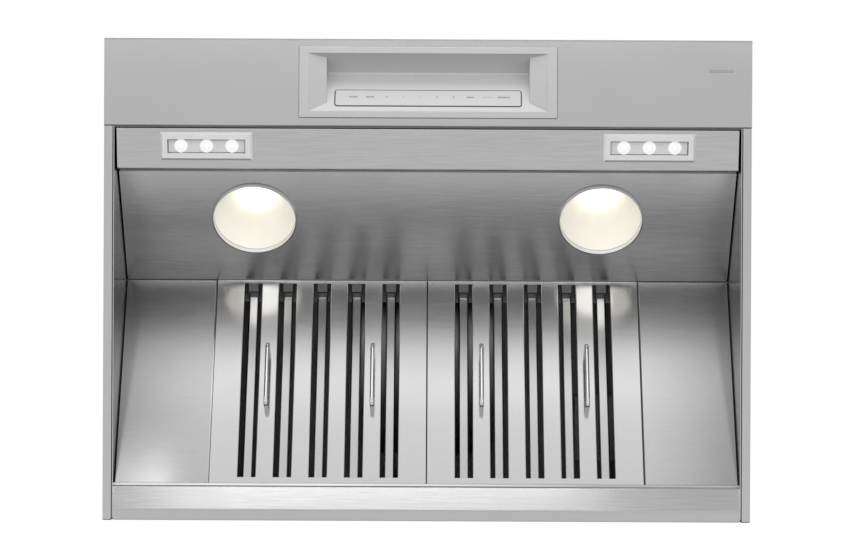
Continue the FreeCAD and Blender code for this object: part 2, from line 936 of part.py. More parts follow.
def scroll_face(shrink):
    """The blower scroll: three quarter turns of growing radius, then straight up to the outlet."""
    first = scroll_radius - shrink
    second = first + scroll_step
    third = second + scroll_step
    centre_y = scroll_y + scroll_step
    centre_z = scroll_z + scroll_step
    tongue_y = scroll_y + shrink
    tongue_z = scroll_z + math.sqrt(first * first - shrink * shrink)
    diagonal = math.sqrt(0.5)
    start = Vector(0, tongue_y, tongue_z)
    left = Vector(0, scroll_y - first, scroll_z)
    bottom = Vector(0, centre_y, scroll_z - second)
    right = Vector(0, centre_y + third, centre_z)
    top = top_z if shrink == 0 else hood_height + sheet
    edges = [
        Part.Arc(start, Vector(0, scroll_y - first * diagonal, scroll_z + first * diagonal), left),
        Part.Arc(left, Vector(0, centre_y - second * diagonal, scroll_z - second * diagonal), bottom),
        Part.Arc(bottom, Vector(0, centre_y + third * diagonal, centre_z - third * diagonal), right),
        Part.LineSegment(right, Vector(0, right.y, top)),
        Part.LineSegment(Vector(0, right.y, top), Vector(0, tongue_y, top)),
        Part.LineSegment(Vector(0, tongue_y, top), start),
    ]
    return Part.Face(Part.Wire([edge.toShape() for edge in edges]))


def blower_housing():
    """Two side plates, and between them the band with the outlet flange."""
    x = blower_width / 2
    edge = outlet_flange
    flange = block(
        -x - edge, x + edge, scroll_y - edge, scroll_y + outlet_depth + edge, top_z - sheet, top_z
    )
    inlet = rod(Vector(-2 * x, wheel_y, wheel_z), Vector(1, 0, 0), inlet_radius, 4 * x)
    holes = screw_holes(spider_screw_places(), Vector(1, 0, 0))
    pieces = []
    for start in (-x, x - sheet):
        pieces.append(across(scroll_face(0), start, start + sheet).cut([flange, inlet] + holes))
    band = across(scroll_face(0), -x + sheet, x - sheet)
    inside = across(scroll_face(sheet), -x + sheet, x - sheet)
    pieces.append(fused(band, [flange]).cut(inside))
    return pieces


def blade():
    def at(radius, turn):
        return Vector(0, radius * math.sin(turn), radius * math.cos(turn))

    sweep = math.radians(blade_sweep)
    middle_radius = (wheel_inner_radius + wheel_radius) / 2
    bow = sweep / 2 - blade_belly / middle_radius
    thick = blade_sheet / middle_radius
    near = (at(wheel_inner_radius, 0), at(middle_radius, bow), at(wheel_radius, sweep))
    far = (at(wheel_radius, sweep + thick), at(middle_radius, bow + thick), at(wheel_inner_radius, thick))
    edges = [
        Part.Arc(*near),
        Part.LineSegment(near[2], far[0]),
        Part.Arc(*far),
        Part.LineSegment(far[2], near[0]),
    ]
    face = Part.Face(Part.Wire([edge.toShape() for edge in edges]))
    reach = wheel_width / 2 - wheel_ring
    return across(face, -reach, reach)


def blower_wheel():
    """A slotted middle disc with its hub, and the blades in its slots."""
    axis = Vector(1, 0, 0)
    blades = []
    for index in range(wheel_blades):
        vane = blade()
        vane.rotate(Vector(0, 0, 0), axis, 360.0 * index / wheel_blades)
        blades.append(vane)
    hub = rod(Vector(0, 0, 0), axis, hub_radius, hub_length)
    bore = rod(Vector(-hub_length, 0, 0), axis, shaft_radius + running_gap, 3 * hub_length)
    disc = fused(rod(Vector(0, 0, 0), axis, wheel_radius - wheel_ring, wheel_ring), [hub])
    pieces = [disc.cut(blades + [bore])] + blades
    for piece in pieces:
        piece.translate(Vector(0, wheel_y, wheel_z))
    return pieces


def wheel_rings():
    axis = Vector(1, 0, 0)
    x = wheel_width / 2
    rings = []
    for start in (-x, x - wheel_ring):
        centre = Vector(start, wheel_y, wheel_z)
        ring = rod(centre, axis, wheel_radius + wheel_ring, wheel_ring)
        rings.append(ring.cut(rod(centre, axis, wheel_inner_radius, wheel_ring)))
    return rings


def motor_front_x():
    return -blower_width / 2 + motor_length


def blower_shaft():
    start = motor_front_x() - shaft_in_motor
    return rod(Vector(start, wheel_y, wheel_z), Vector(1, 0, 0), shaft_radius, hub_length - start)


def blower_motor():
    axis = Vector(1, 0, 0)
    back = Vector(-blower_width / 2, wheel_y, wheel_z)
    body = rod(back, axis, motor_radius, motor_length)
    rims = [edge for edge in body.Edges if edge.Curve.TypeId == "Part::GeomCircle"]
    body = body.makeFillet(motor_edge, rims)
    depth = shaft_in_motor + seat_gap
    bore = rod(Vector(motor_front_x() - depth, wheel_y, wheel_z), axis, shaft_radius + running_gap, 2 * depth)
    return body.cut(bore)


def motor_spider():
    axis = Vector(1, 0, 0)
    x = -blower_width / 2 - beam_sheet
    hub = rod(Vector(x, wheel_y, wheel_z), axis, spider_hub_radius, beam_sheet)
    arms = []
    half = spider_arm_width / 2
    reach = inlet_radius + spider_overlap
    for index in range(spider_arms):
        arm = block(x, x + beam_sheet, wheel_y - half, wheel_y + half, wheel_z, wheel_z + reach)
        arm.rotate(Vector(0, wheel_y, wheel_z), axis, -360.0 * index / spider_arms)
        arms.append(arm)
    bore = rod(Vector(x - beam_sheet, wheel_y, wheel_z), axis, spider_bore_radius, 3 * beam_sheet)
    return fused(hub, arms).cut([bore] + screw_holes(spider_screw_places(), axis))


def duct_collar():
    ledge_top = flap_height - flap_sheet / 2 - seat_gap
    points = [
        (collar_bore, 0),
        (collar_radius + collar_flange, 0),
        (collar_radius + collar_flange, sheet),
        (collar_radius, sheet),
        (collar_radius, collar_height),
        (collar_bore, collar_height),
        (collar_bore, ledge_top),
        (collar_bore - collar_ledge, ledge_top),
        (collar_bore - collar_ledge, ledge_top - collar_sheet),
        (collar_bore, ledge_top - collar_sheet),
    ]
    collar = turned(points)
    collar.translate(Vector(0, collar_y, hood_height))
    cuts = screw_holes(collar_screw_places(), Vector(0, 0, -1))
    for side in (-1, 1):
        at = Vector(-2 * collar_radius, collar_y + side * flap_pin_pitch / 2, flap_z)
        cuts.append(rod(at, Vector(1, 0, 0), flap_pin_radius + running_gap, 4 * collar_radius))
    return collar.cut(cuts)


def flap_pins():
    reach = collar_radius - collar_sheet / 2
    half = math.sqrt(reach * reach - flap_pin_pitch * flap_pin_pitch / 4)
    pins = []
    for side in (-1, 1):
        at = Vector(-half, collar_y + side * flap_pin_pitch / 2, flap_z)
        pins.append(rod(at, Vector(1, 0, 0), flap_pin_radius, 2 * half))
    return pins


def damper_flap(side):
    """One half of the butterfly damper, on the wall side of its pin where side is 1."""
    radius = collar_bore - flap_margin
    pin_y = collar_y + side * flap_pin_pitch / 2
    low = flap_z - flap_sheet / 2
    disc = rod(Vector(0, collar_y, low), Vector(0, 0, 1), radius, flap_sheet)
    y0, y1 = sorted((pin_y, pin_y + side * 2 * radius))
    half_disc = disc.common(block(-radius, radius, y0, y1, low - flap_sheet, low + 2 * flap_sheet))
    half = collar_bore - collar_ledge - flap_margin / 2
    axis = Vector(1, 0, 0)
    bore_radius = flap_pin_radius + running_gap
    knuckle = rod(Vector(-half, pin_y, flap_z), axis, bore_radius + flap_knuckle, 2 * half)
    bore = rod(Vector(-2 * radius, pin_y, flap_z), axis, bore_radius, 4 * radius)
    return fused(half_disc, [knuckle]).cut(bore)


def conduit_hole():
    y = -junction_from_wall - junction_depth / 2
    return rod(Vector(junction_offset, y, top_z - 2 * sheet), Vector(0, 0, 1), conduit_radius, 4 * sheet)


def junction_box():
    x0 = junction_offset - junction_width / 2
    x1 = x0 + junction_width
    y1 = -junction_from_wall
    y0 = y1 - junction_depth
    low = top_z - junction_height
    body = block(x0, x1, y0, y1, low, top_z)
    hollow = block(x0 + sheet, x1 - sheet, y0 + sheet, y1 - sheet, low - sheet, top_z - sheet)
    return body.cut([hollow, conduit_hole()])


def junction_cover():
    x0 = junction_offset - junction_width / 2
    y1 = -junction_from_wall
    low = top_z - junction_height
    return block(x0, x0 + junction_width, y1 - junction_depth, y1, low - sheet, low)


def led_driver():
    x0 = driver_offset - driver_width / 2
    y0 = -sheet - driver_depth
    case = block(x0, x0 + driver_width, y0, -sheet, driver_lift, driver_lift + driver_height)
    corners = [edge for edge in case.Edges if edge.BoundBox.YMax < y0 + driver_depth / 2]
    return case.makeFillet(box_corner, corners)


def build():
    down = Vector(0, 0, -1)
    nodes = {
        "right_side_skin": [right_side_skin()],
        "right_inner_wall": [right_inner_wall()],
        "right_filler_panel": [right_filler()],
        "right_led_frame": [in_rail(led_frame())],
        "right_led_tray": [in_rail(led_tray())],
        "right_led_lenses": [in_rail(lens) for lens in led_lenses()],
        "right_led_board": [in_rail(led_board())],
        "right_lamp_reflector": [in_lamp_panel(lamp_reflector())],
        "right_lamp_trim": [in_lamp_panel(lamp_trim())],
        "right_lamp_bulb": [in_lamp_panel(lamp_bulb())],
        "right_lamp_socket": [in_lamp_panel(lamp_socket())],
    }
    for name, shapes in list(nodes.items()):
        nodes[name.replace("right", "left")] = [mirrored(shape) for shape in shapes]
    for name, side in (("left", -1), ("right", 1)):
        nodes[name + "_filter_face"] = [in_filter(filter_face(), side)]
        nodes[name + "_filter_frame"] = [in_filter(filter_frame(), side)]
        nodes[name + "_filter_baffles"] = [in_filter(baffle, side) for baffle in filter_baffles()]
        nodes[name + "_filter_handles"] = [in_filter(handle, side) for handle in filter_handles()]
    clips = right_clips()
    nodes["filter_clips"] = clips + [mirrored(clip) for clip in clips]
    nodes["front_lip"] = [front_lip()]
    nodes["canopy_slope"] = [canopy_slope()]
    nodes["top_panel"] = [top_panel()]
    nodes["back_panel"] = [back_panel()]
    nodes["light_rail"] = [light_rail()]
    nodes["lamp_panel"] = [lamp_panel()]
    nodes["apex_beam"] = [apex_beam()]
    nodes["rear_rail"] = [rear_rail()]
    nodes["filter_tie"] = [filter_tie()]
    nodes["grease_trough"] = [grease_trough()]
    nodes["control_bezel"] = [control_bezel()]
    nodes["touch_glass"] = [glass_block(0, glass_proud)]
    nodes["touch_board"] = [touch_board()]
    nodes["control_module"] = [control_module()]
    nodes["blower_housing"] = blower_housing()
    nodes["blower_wheel"] = blower_wheel()
    nodes["wheel_rings"] = wheel_rings()
    nodes["blower_shaft"] = [blower_shaft()]
    nodes["blower_motor"] = [blower_motor()]
    nodes["motor_spider"] = [motor_spider()]
    nodes["spider_screws"] = [screw(at, Vector(1, 0, 0)) for at in spider_screw_places()]
    nodes["duct_collar"] = [duct_collar()]
    nodes["flap_pins"] = flap_pins()
    nodes["front_damper_flap"] = [damper_flap(-1)]
    nodes["rear_damper_flap"] = [damper_flap(1)]
    nodes["top_screws"] = [screw(at, down) for at in top_screw_places() + collar_screw_places()]
    nodes["junction_box"] = [junction_box()]
    nodes["junction_cover"] = [junction_cover()]
    nodes["led_driver"] = [led_driver()]
    return nodes


os.makedirs("parts", exist_ok=True)
for node, solids in build().items():
    shape = Part.makeCompound(solids) if len(solids) > 1 else solids[0]
    shape.translate(Vector(0, 0, -wall_hole_height))
    shape.exportStep("parts/" + node + ".step")
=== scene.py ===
import math

import bmesh
import bpy
from mathutils import Matrix, Vector


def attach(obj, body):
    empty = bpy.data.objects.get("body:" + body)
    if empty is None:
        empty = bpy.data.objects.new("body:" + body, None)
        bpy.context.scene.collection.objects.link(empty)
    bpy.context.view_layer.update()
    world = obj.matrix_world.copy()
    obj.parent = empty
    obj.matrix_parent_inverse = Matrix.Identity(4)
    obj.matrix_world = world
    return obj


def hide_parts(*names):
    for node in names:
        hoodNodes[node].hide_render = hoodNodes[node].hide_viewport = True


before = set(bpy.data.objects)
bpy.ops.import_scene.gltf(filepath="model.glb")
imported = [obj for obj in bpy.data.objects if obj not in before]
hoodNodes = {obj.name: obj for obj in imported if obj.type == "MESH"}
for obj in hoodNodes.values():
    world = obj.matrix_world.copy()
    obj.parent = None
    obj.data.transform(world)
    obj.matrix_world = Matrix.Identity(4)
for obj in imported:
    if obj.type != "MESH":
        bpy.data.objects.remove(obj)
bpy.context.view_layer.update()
scene = bpy.context.scene
scene.view_settings.view_transform = "Standard"
print("frame loaded:", len(hoodNodes), "nodes")

rimZ = -0.300  # the open rim hangs this far below the middle of the wall holes
sides = (("left", -1), ("right", 1))


# small helpers

def feed(tree, source, target):
    tree.links.new(source, target)


def give(tree, socket, value):
    # a number or a colour is set on the socket itself, an output is linked to it
    if isinstance(value, (int, float)):
        socket.default_value = value
    elif isinstance(value, tuple):
        socket.default_value = (*value, 1.0)
    else:
        feed(tree, value, socket)


def put(tree, kind, sockets=None, **settings):
    node = tree.nodes.new(kind)
    for name, value in settings.items():
        setattr(node, name, value)
    for label, value in (sockets or {}).items():
        give(tree, node.inputs[label], value)
    return node


def mathNode(tree, operation, *values, clamp=False):
    node = put(tree, "ShaderNodeMath", dict(enumerate(values)), operation=operation, use_clamp=clamp)
    return node.outputs[0]


def mapRange(tree, value, source, target=(0.0, 1.0), kind="LINEAR"):
    spans = {"From Min": source[0], "From Max": source[1], "To Min": target[0], "To Max": target[1]}
    return put(tree, "ShaderNodeMapRange", {"Value": value, **spans}, interpolation_type=kind).outputs[0]


def mixColour(tree, factor, first, second, blend="MIX"):
    sockets = {0: factor, 6: first, 7: second}
    return put(tree, "ShaderNodeMix", sockets, data_type="RGBA", blend_type=blend).outputs[2]


def splitXyz(tree, vector):
    return put(tree, "ShaderNodeSeparateXYZ", {0: vector}).outputs


def combineXyz(tree, *values):
    return put(tree, "ShaderNodeCombineXYZ", dict(enumerate(values))).outputs[0]


def objectPlace(tree):
    return put(tree, "ShaderNodeTexCoord").outputs["Object"]


def grey(level):
    return (level, level, level)


def toneRamp(tree, factor, stops, tint=grey(1.0)):
    # every stop is a spot on the ramp and its tone
    ramp = put(tree, "ShaderNodeValToRGB", {"Fac": factor})
    marks = ramp.color_ramp.elements
    for index, (spot, level) in enumerate(stops):
        mark = marks[index] if index < len(marks) else marks.new(spot)
        mark.position = spot
        mark.color = (*(level * share for share in tint), 1.0)
    return ramp.outputs["Color"]


# camera: it looks straight up into the hood, with the front of the hood at the top of the picture

cameraView = {
    "pixelsWide": 862,
    "rimMetresPerPixel": 0.00141,
    "distance": 3.85,
    "eyeX": 0.0052,
    "eyeY": -0.3496,
    "rollDegrees": 0.27,
    "sensor": 36.0,
    "clip": (0.1, 60.0),
}


def placeCamera(view):
    data = bpy.data.cameras.new("underCamera")
    data.sensor_width = view["sensor"]
    data.lens = view["sensor"] * view["distance"] / (view["pixelsWide"] * view["rimMetresPerPixel"])
    data.clip_start, data.clip_end = view["clip"]
    camera = bpy.data.objects.new("underCamera", data)
    scene.collection.objects.link(camera)
    roll = math.radians(view["rollDegrees"])
    right = Vector((math.cos(roll), -math.sin(roll), 0))
    up = Vector((-math.sin(roll), -math.cos(roll), 0))
    turn = Matrix((right, up, right.cross(up))).transposed().to_4x4()
    camera.matrix_world = Matrix.Translation((view["eyeX"], view["eyeY"], rimZ - view["distance"])) @ turn
    scene.camera = camera


placeCamera(cameraView)
print("camera placed")


# studio: white to the camera, and a soft falloff from front to back for the steel to mirror

studio = {
    "ambient": 0.75,
    "floorDrop": 1.25,
    "floorReach": 14.0,
    "floorTone": 0.86,
    "floorRough": 0.9,
    # how bright the studio is towards the front (-1) and towards the back (1)
    "falloff": [(-1.0, 0.75), (-0.92, 0.70), (-0.87, 0.13), (-0.64, 0.13), (-0.52, 0.90), (-0.15, 0.91),
                (0.12, 1.14), (0.45, 0.97), (0.62, 0.48), (0.80, 0.22), (1.0, 0.22)],
}
softBoxes = [
    {"name": "frontBox", "at": (-0.13, -1.49, -2.45), "aim": (-0.05, -0.05, -0.30), "size": (1.05, 0.60),
     "watts": 4.3},
    {"name": "filterBox", "at": (0.0, -0.935, -0.875), "aim": (0.0, -0.13, -0.245), "size": (1.50, 0.34),
     "watts": 1.80},
    {"name": "peakBox", "at": (0.0, -0.935, -0.725), "aim": (0.0, -0.20, -0.210), "size": (1.50, 0.13),
     "watts": 0.26},
    {"name": "cornerBox", "at": (-0.535, -0.97, -1.035), "aim": (-0.40, -0.06, -0.275), "size": (0.12, 0.09),
     "watts": 0.100},
    {"name": "backBox", "at": (0.0, 0.25, -0.515), "aim": (0.0, -0.49, -0.27), "size": (1.30, 0.15),
     "watts": 0.58},
    {"name": "recessBox", "at": (0.0, -1.40, -0.85), "aim": (0.0, -0.60, -0.285), "size": (0.70, 0.50),
     "watts": 2.6, "mirrored": False},
    {"name": "topBox", "at": (-1.6, -2.2, 2.6), "aim": (0.0, -0.34, 0.0), "size": (2.2, 2.2), "watts": 14.0},
]
# each lamp throws a warm glow on the filter below it, with a bright core and a soft halo
lampGlows = {
    "middleX": 0.001, "outX": 0.251, "aimOutX": 0.239, "aimYz": (-0.3125, -0.149),
    "layers": [
        {"name": "Glow", "atYz": (-0.440, -0.238), "size": (0.118, 0.050), "watts": 0.0062,
         "tint": (1.0, 0.95, 0.86)},
        {"name": "GlowCore", "atYz": (-0.441, -0.239), "size": (0.060, 0.046), "watts": 0.0062},
        {"name": "GlowHalo", "atYz": (-0.442, -0.242), "size": (0.108, 0.092), "watts": 0.0056,
         "tint": (1.0, 0.96, 0.90)},
    ],
}


def buildWorld(look):
    world = bpy.data.worlds.new("studioWorld")
    scene.world = world
    world.use_nodes = True
    tree = world.node_tree
    tree.nodes.clear()
    towardsBack = splitXyz(tree, put(tree, "ShaderNodeTexCoord").outputs["Generated"])["Y"]
    stops = [((towards + 1) / 2, level) for towards, level in look["falloff"]]
    falloff = toneRamp(tree, mapRange(tree, towardsBack, (-1.0, 1.0)), stops)
    path = put(tree, "ShaderNodeLightPath")
    seenIn = mathNode(tree, "MAXIMUM", path.outputs["Is Glossy Ray"], path.outputs["Is Transmission Ray"])
    level = mixColour(tree, seenIn, grey(look["ambient"]), falloff)
    level = mixColour(tree, path.outputs["Is Camera Ray"], level, grey(1.0))
    sky = put(tree, "ShaderNodeBackground", {"Color": level})
    put(tree, "ShaderNodeOutputWorld", {"Surface": sky.outputs[0]})


def buildFloor(look):
    reach = look["floorReach"]
    z = rimZ - look["floorDrop"]
    corners = [(-reach, -reach, z), (reach, -reach, z), (reach, reach, z), (-reach, reach, z)]
    mesh = bpy.data.meshes.new("studioFloor")
    mesh.from_pydata(corners, [], [(0, 1, 2, 3)])
    floor = bpy.data.objects.new("studioFloor", mesh)
    scene.collection.objects.link(floor)
    material = bpy.data.materials.new("paleFloor")
    material.use_nodes = True
    tree = material.node_tree
    surface = tree.nodes["Principled BSDF"]
    give(tree, surface.inputs["Base Color"], grey(look["floorTone"]))
    give(tree, surface.inputs["Roughness"], look["floorRough"])
    clear = put(tree, "ShaderNodeBsdfTransparent")
    behind = put(tree, "ShaderNodeNewGeometry").outputs["Backfacing"]
    oneSided = put(tree, "ShaderNodeMixShader", {0: behind, 1: surface.outputs[0], 2: clear.outputs[0]})
    feed(tree, oneSided.outputs[0], tree.nodes["Material Output"].inputs["Surface"])
    mesh.materials.append(material)
    floor.visible_glossy = False  # the steel mirrors the studio, not this plane
    floor.visible_diffuse = False
    floor.visible_transmission = False
    floor.visible_shadow = False


def glowBoxes(sizes):
    boxes = []
    for side, outward in sides:
        x = sizes["middleX"] + outward * sizes["outX"]
        aim = (sizes["middleX"] + outward * sizes["aimOutX"], *sizes["aimYz"])
        for layer in sizes["layers"]:
            at = (x, *layer["atYz"])
            boxes.append({**layer, "name": side + layer["name"], "at": at, "aim": aim, "round": True})
    return boxes


def buildLights(boxes):
    for box in boxes:
        data = bpy.data.lights.new(box["name"], "AREA")
        data.shape = "ELLIPSE" if box.get("round") else "RECTANGLE"
        data.size, data.size_y = box["size"]
        data.energy = box["watts"]
        data.color = box.get("tint", grey(1.0))
        light = bpy.data.objects.new(box["name"], data)
        scene.collection.objects.link(light)
        light.location = box["at"]
        light.rotation_euler = (Vector(box["aim"]) - Vector(box["at"])).to_track_quat("-Z", "Y").to_euler()
        light.visible_camera = False
        light.visible_glossy = box.get("mirrored", True)


buildWorld(studio)
buildFloor(studio)
buildLights(softBoxes + glowBoxes(lampGlows))
print("studio ready")


# shader groups that several finishes share

grainSizes = {"stretch": (22.0, 500.0, 500.0), "fineDetail": 3.0, "fineRough": 0.6, "fineShare": 0.82,
              "broadScale": 0.16, "broadDetail": 2.0, "broadShare": 0.18}
smearSizes = {"size": 9.0, "detail": 4.0, "distortion": 0.6, "edge": (0.35, 0.70)}
mouldSizes = {"scale": 1400.0, "cloudScale": 60.0, "cloudDetail": 3.0}
spangleSizes = {"scale": 90.0, "cloudScale": 25.0, "cloudDetail": 4.0, "cellShare": 0.5, "cloudShare": 0.5}


def newGroup(name, inputs, outputs):
    group = bpy.data.node_groups.new(name, "ShaderNodeTree")
    for label, value in inputs.items():
        kind = "NodeSocketVector" if isinstance(value, tuple) else "NodeSocketFloat"
        group.interface.new_socket(label, in_out="INPUT", socket_type=kind).default_value = value
    for label in outputs:
        group.interface.new_socket(label, in_out="OUTPUT", socket_type="NodeSocketFloat")
    return group, put(group, "NodeGroupInput").outputs, put(group, "NodeGroupOutput").inputs


def noiseOn(tree, vector, scale, detail, roughness=0.5, distortion=0.0):
    sockets = {"Vector": vector, "Scale": scale, "Detail": detail, "Roughness": roughness,
               "Distortion": distortion}
    return put(tree, "ShaderNodeTexNoise", sockets).outputs["Fac"]


def cellsOn(tree, vector, scale):
    return put(tree, "ShaderNodeTexVoronoi", {"Vector": vector, "Scale": scale}).outputs


def makeBrushedGrain(sizes):
    inputs = {"Stretch": sizes["stretch"], "Contrast": 1.0}
    group, given, result = newGroup("brushedGrain", inputs, ["Tone", "Height"])
    place = put(group, "ShaderNodeMapping", {"Vector": objectPlace(group), "Scale": given["Stretch"]}).outputs[0]
    fine = noiseOn(group, place, 1.0, sizes["fineDetail"], sizes["fineRough"])
    broad = noiseOn(group, place, sizes["broadScale"], sizes["broadDetail"])
    fineTone = mathNode(group, "MULTIPLY", fine, sizes["fineShare"])
    broadTone = mathNode(group, "MULTIPLY", broad, sizes["broadShare"])
    centred = mathNode(group, "SUBTRACT", mathNode(group, "ADD", fineTone, broadTone), 0.5)
    strong = mathNode(group, "MULTIPLY", centred, given["Contrast"])
    feed(group, mathNode(group, "ADD", strong, 0.5, clamp=True), result["Tone"])
    feed(group, fine, result["Height"])
    return group


def makeWipedSmears(sizes):
    group, given, result = newGroup("wipedSmears", {"Size": sizes["size"]}, ["Mask"])
    noise = noiseOn(group, objectPlace(group), given["Size"], sizes["detail"], distortion=sizes["distortion"])
    feed(group, mapRange(group, noise, sizes["edge"], kind="SMOOTHSTEP"), result["Mask"])
    return group


def makeMouldGrain(sizes):
    group, given, result = newGroup("mouldGrain", {"Scale": sizes["scale"]}, ["Tone", "Height"])
    place = objectPlace(group)
    feed(group, cellsOn(group, place, given["Scale"])["Distance"], result["Height"])
    feed(group, noiseOn(group, place, sizes["cloudScale"], sizes["cloudDetail"]), result["Tone"])
    return group


def makeSpangle(sizes):
    group, given, result = newGroup("zincSpangle", {"Scale": sizes["scale"]}, ["Tone", "Height"])
    place = objectPlace(group)
    cells = put(group, "ShaderNodeSeparateColor", {0: cellsOn(group, place, given["Scale"])["Color"]}).outputs
    clouds = noiseOn(group, place, sizes["cloudScale"], sizes["cloudDetail"])
    cellTone = mathNode(group, "MULTIPLY", cells[0], sizes["cellShare"])
    cloudTone = mathNode(group, "MULTIPLY", clouds, sizes["cloudShare"])
    feed(group, mathNode(group, "ADD", cellTone, cloudTone, clamp=True), result["Tone"])
    feed(group, cells[1], result["Height"])
    return group


brushedGrain = makeBrushedGrain(grainSizes)
wipedSmears = makeWipedSmears(smearSizes)
mouldGrain = makeMouldGrain(mouldSizes)
zincSpangle = makeSpangle(spangleSizes)
print("shader groups ready")


# finishes

bumpDepths = {"brushed": 0.0004, "enamel": 0.0004, "moulded": 0.0003, "spangle": 0.0003, "tracks": 0.0002}


def newFinish(name, metallic=0.0):
    material = bpy.data.materials.new(name)
    material.use_nodes = True
    surface = material.node_tree.nodes["Principled BSDF"]
    surface.inputs["Metallic"].default_value = metallic
    return material, material.node_tree, surface


def useGroup(tree, group, **values):
    node = put(tree, "ShaderNodeGroup", node_tree=group)
    for label, value in values.items():
        node.inputs[label].default_value = value
    return node.outputs


def addBump(tree, surface, height, strength, distance):
    bump = put(tree, "ShaderNodeBump", {"Strength": strength, "Distance": distance, "Height": height})
    feed(tree, bump.outputs[0], surface.inputs["Normal"])


def addRoughness(tree, surface, tone, span):
    feed(tree, mapRange(tree, tone, (0.0, 1.0), span), surface.inputs["Roughness"])


def around(middle, spread):
    return (middle - spread, middle + spread)


def bandTones(tree, band):
    # painted light and shade: tones along one of the hood's axes, over a span of it
    along = splitXyz(tree, objectPlace(tree))[band["axis"]]
    if band.get("bothHalves"):
        along = mathNode(tree, "ABSOLUTE", along)
    return toneRamp(tree, mapRange(tree, along, band["span"]), band["tones"])


# painted shade: the fillers' colour darkens towards the inner walls
fillerShadeBand = {"axis": "X", "span": (0.30, 0.45), "bothHalves": True,
              "tones": [(0.0, 0.99), (0.133, 0.975), (0.287, 0.917), (0.453, 0.835), (0.64, 0.725), (0.767, 0.65),
                        (1.0, 0.57)]}
plainSteel = {"spread": 0.02, "roughSpread": 0.02, "contrast": 1.2, "bump": 0.02}
linerGrain = {"spread": 0.05, "roughSpread": 0.03, "stretch": (20, 460, 460), "contrast": 1.7, "bump": 0.05}
fillerGrain = {"spread": 0.03, "rough": 0.14, "stretch": (34, 900, 900), "contrast": 1.3, "bump": 0.03,
               "spreadShare": 0.5, "band": fillerShadeBand}
filterGrain = {"rough": 0.125, "stretch": (14, 700, 700), "spreadShare": 0.6}
steelLooks = {
    "shellSteel": {"tone": 0.428, "spread": 0.018, "rough": 0.23, "stretch": (22, 850, 850), "bump": 0.01},
    "shellSteelSides": {"tone": 0.440, "spread": 0.018, "rough": 0.23, "stretch": (850, 22, 850), "bump": 0.01},
    "linerSteel": {**linerGrain, "tone": 0.450, "rough": 0.165, "spreadShare": 0.5},
    "lampPanelSteel": {**linerGrain, "tone": 0.438, "rough": 0.20, "spreadShare": 0.2},
    # the two fillers take different tones, painted light and shade
    "leftFillerShadingSteel": {**fillerGrain, "tone": 0.406},
    "rightFillerShadingSteel": {**fillerGrain, "tone": 0.456},
    "linerSteelSides": {"tone": 0.430, "spread": 0.025, "rough": 0.22, "roughSpread": 0.03,
                        "stretch": (460, 20, 460), "contrast": 1.4, "bump": 0.015},
    "filterSteel": {**filterGrain, "tone": 0.485},
    # a darker copy of the filter steel, painted shade on the baffles behind the slots
    "baffleShadeSteel": {**filterGrain, "tone": 0.420},
    # a darker copy of the filter steel, painted shade on the slot tabs
    "tabShadeSteel": {"tone": 0.210, "rough": 0.20, "stretch": (14, 700, 700)},
    # a darker copy of the steel, painted shade on bends and slot plates
    "shadedSteel": {"tone": 0.240, "rough": 0.30, "roughSpread": 0.03, "stretch": (20, 460, 460)},
    "polishedRod": {"tone": 0.64, "spread": 0.03, "rough": 0.07, "roughSpread": 0.03, "stretch": (300, 40, 40),
                    "contrast": 1.0, "bump": 0.01},
    "springSteel": {"tone": 0.42, "spread": 0.06, "rough": 0.28, "roughSpread": 0.06, "stretch": (60, 600, 600),
                    "contrast": 1.5, "bump": 0.04},
    "lampTrimChrome": {"tone": 0.55, "spread": 0.04, "rough": 0.16, "roughSpread": 0.05,
                       "stretch": (120, 120, 120), "contrast": 1.0, "bump": 0.01},
    # a dark finish painted on as shade, for faces inside the hood
    "insideShade": {"tone": 0.300, "spread": 0.030, "rough": 0.45, "roughSpread": 0.06, "stretch": (60, 60, 60),
                   "contrast": 1.4},
    "zincScrew": {"tone": 0.55, "spread": 0.08, "rough": 0.25, "roughSpread": 0.08, "stretch": (500, 500, 500),
                  "contrast": 1.3, "bump": 0.03},
}


def makeSteel(name, look):
    material, tree, surface = newFinish(name, 1.0)
    grain = useGroup(tree, brushedGrain, Stretch=look["stretch"], Contrast=look["contrast"])
    smears = useGroup(tree, wipedSmears)
    dark, light = around(look["tone"], look["spread"])
    colour = mixColour(tree, grain["Tone"], grey(dark), grey(light))
    # the band multiplies painted shade into the colour
    if "band" in look:
        colour = mixColour(tree, 1.0, colour, bandTones(tree, look["band"]), "MULTIPLY")
    feed(tree, colour, surface.inputs["Base Color"])
    rough = mapRange(tree, grain["Tone"], (0.0, 1.0), around(look["rough"], look["roughSpread"]))
    smeared = mathNode(tree, "MULTIPLY", smears["Mask"], look["roughSpread"])
    feed(tree, mathNode(tree, "ADD", rough, smeared), surface.inputs["Roughness"])
    addBump(tree, surface, grain["Height"], look["bump"], bumpDepths["brushed"])
    if "spreadShare" in look:
        # a brushed sheet spreads what it mirrors across its grain, which runs along x
        across = put(tree, "ShaderNodeVectorMath", operation="CROSS_PRODUCT")
        feed(tree, put(tree, "ShaderNodeNewGeometry").outputs["Normal"], across.inputs[0])
        across.inputs[1].default_value = (1, 0, 0)
        feed(tree, across.outputs["Vector"], surface.inputs["Tangent"])
        surface.inputs["Anisotropic"].default_value = look["spreadShare"]
    return material


zincLook = {"scale": 85.0, "dark": (0.36, 0.37, 0.38), "light": (0.52, 0.53, 0.54), "rough": (0.50, 0.34),
            "bump": 0.05}


def makeGalvanised(look):
    material, tree, surface = newFinish("galvanisedSheet", 1.0)
    spangle = useGroup(tree, zincSpangle, Scale=look["scale"])
    feed(tree, mixColour(tree, spangle["Tone"], look["dark"], look["light"]), surface.inputs["Base Color"])
    addRoughness(tree, surface, spangle["Tone"], look["rough"])
    addBump(tree, surface, spangle["Height"], look["bump"], bumpDepths["spangle"])
    return material


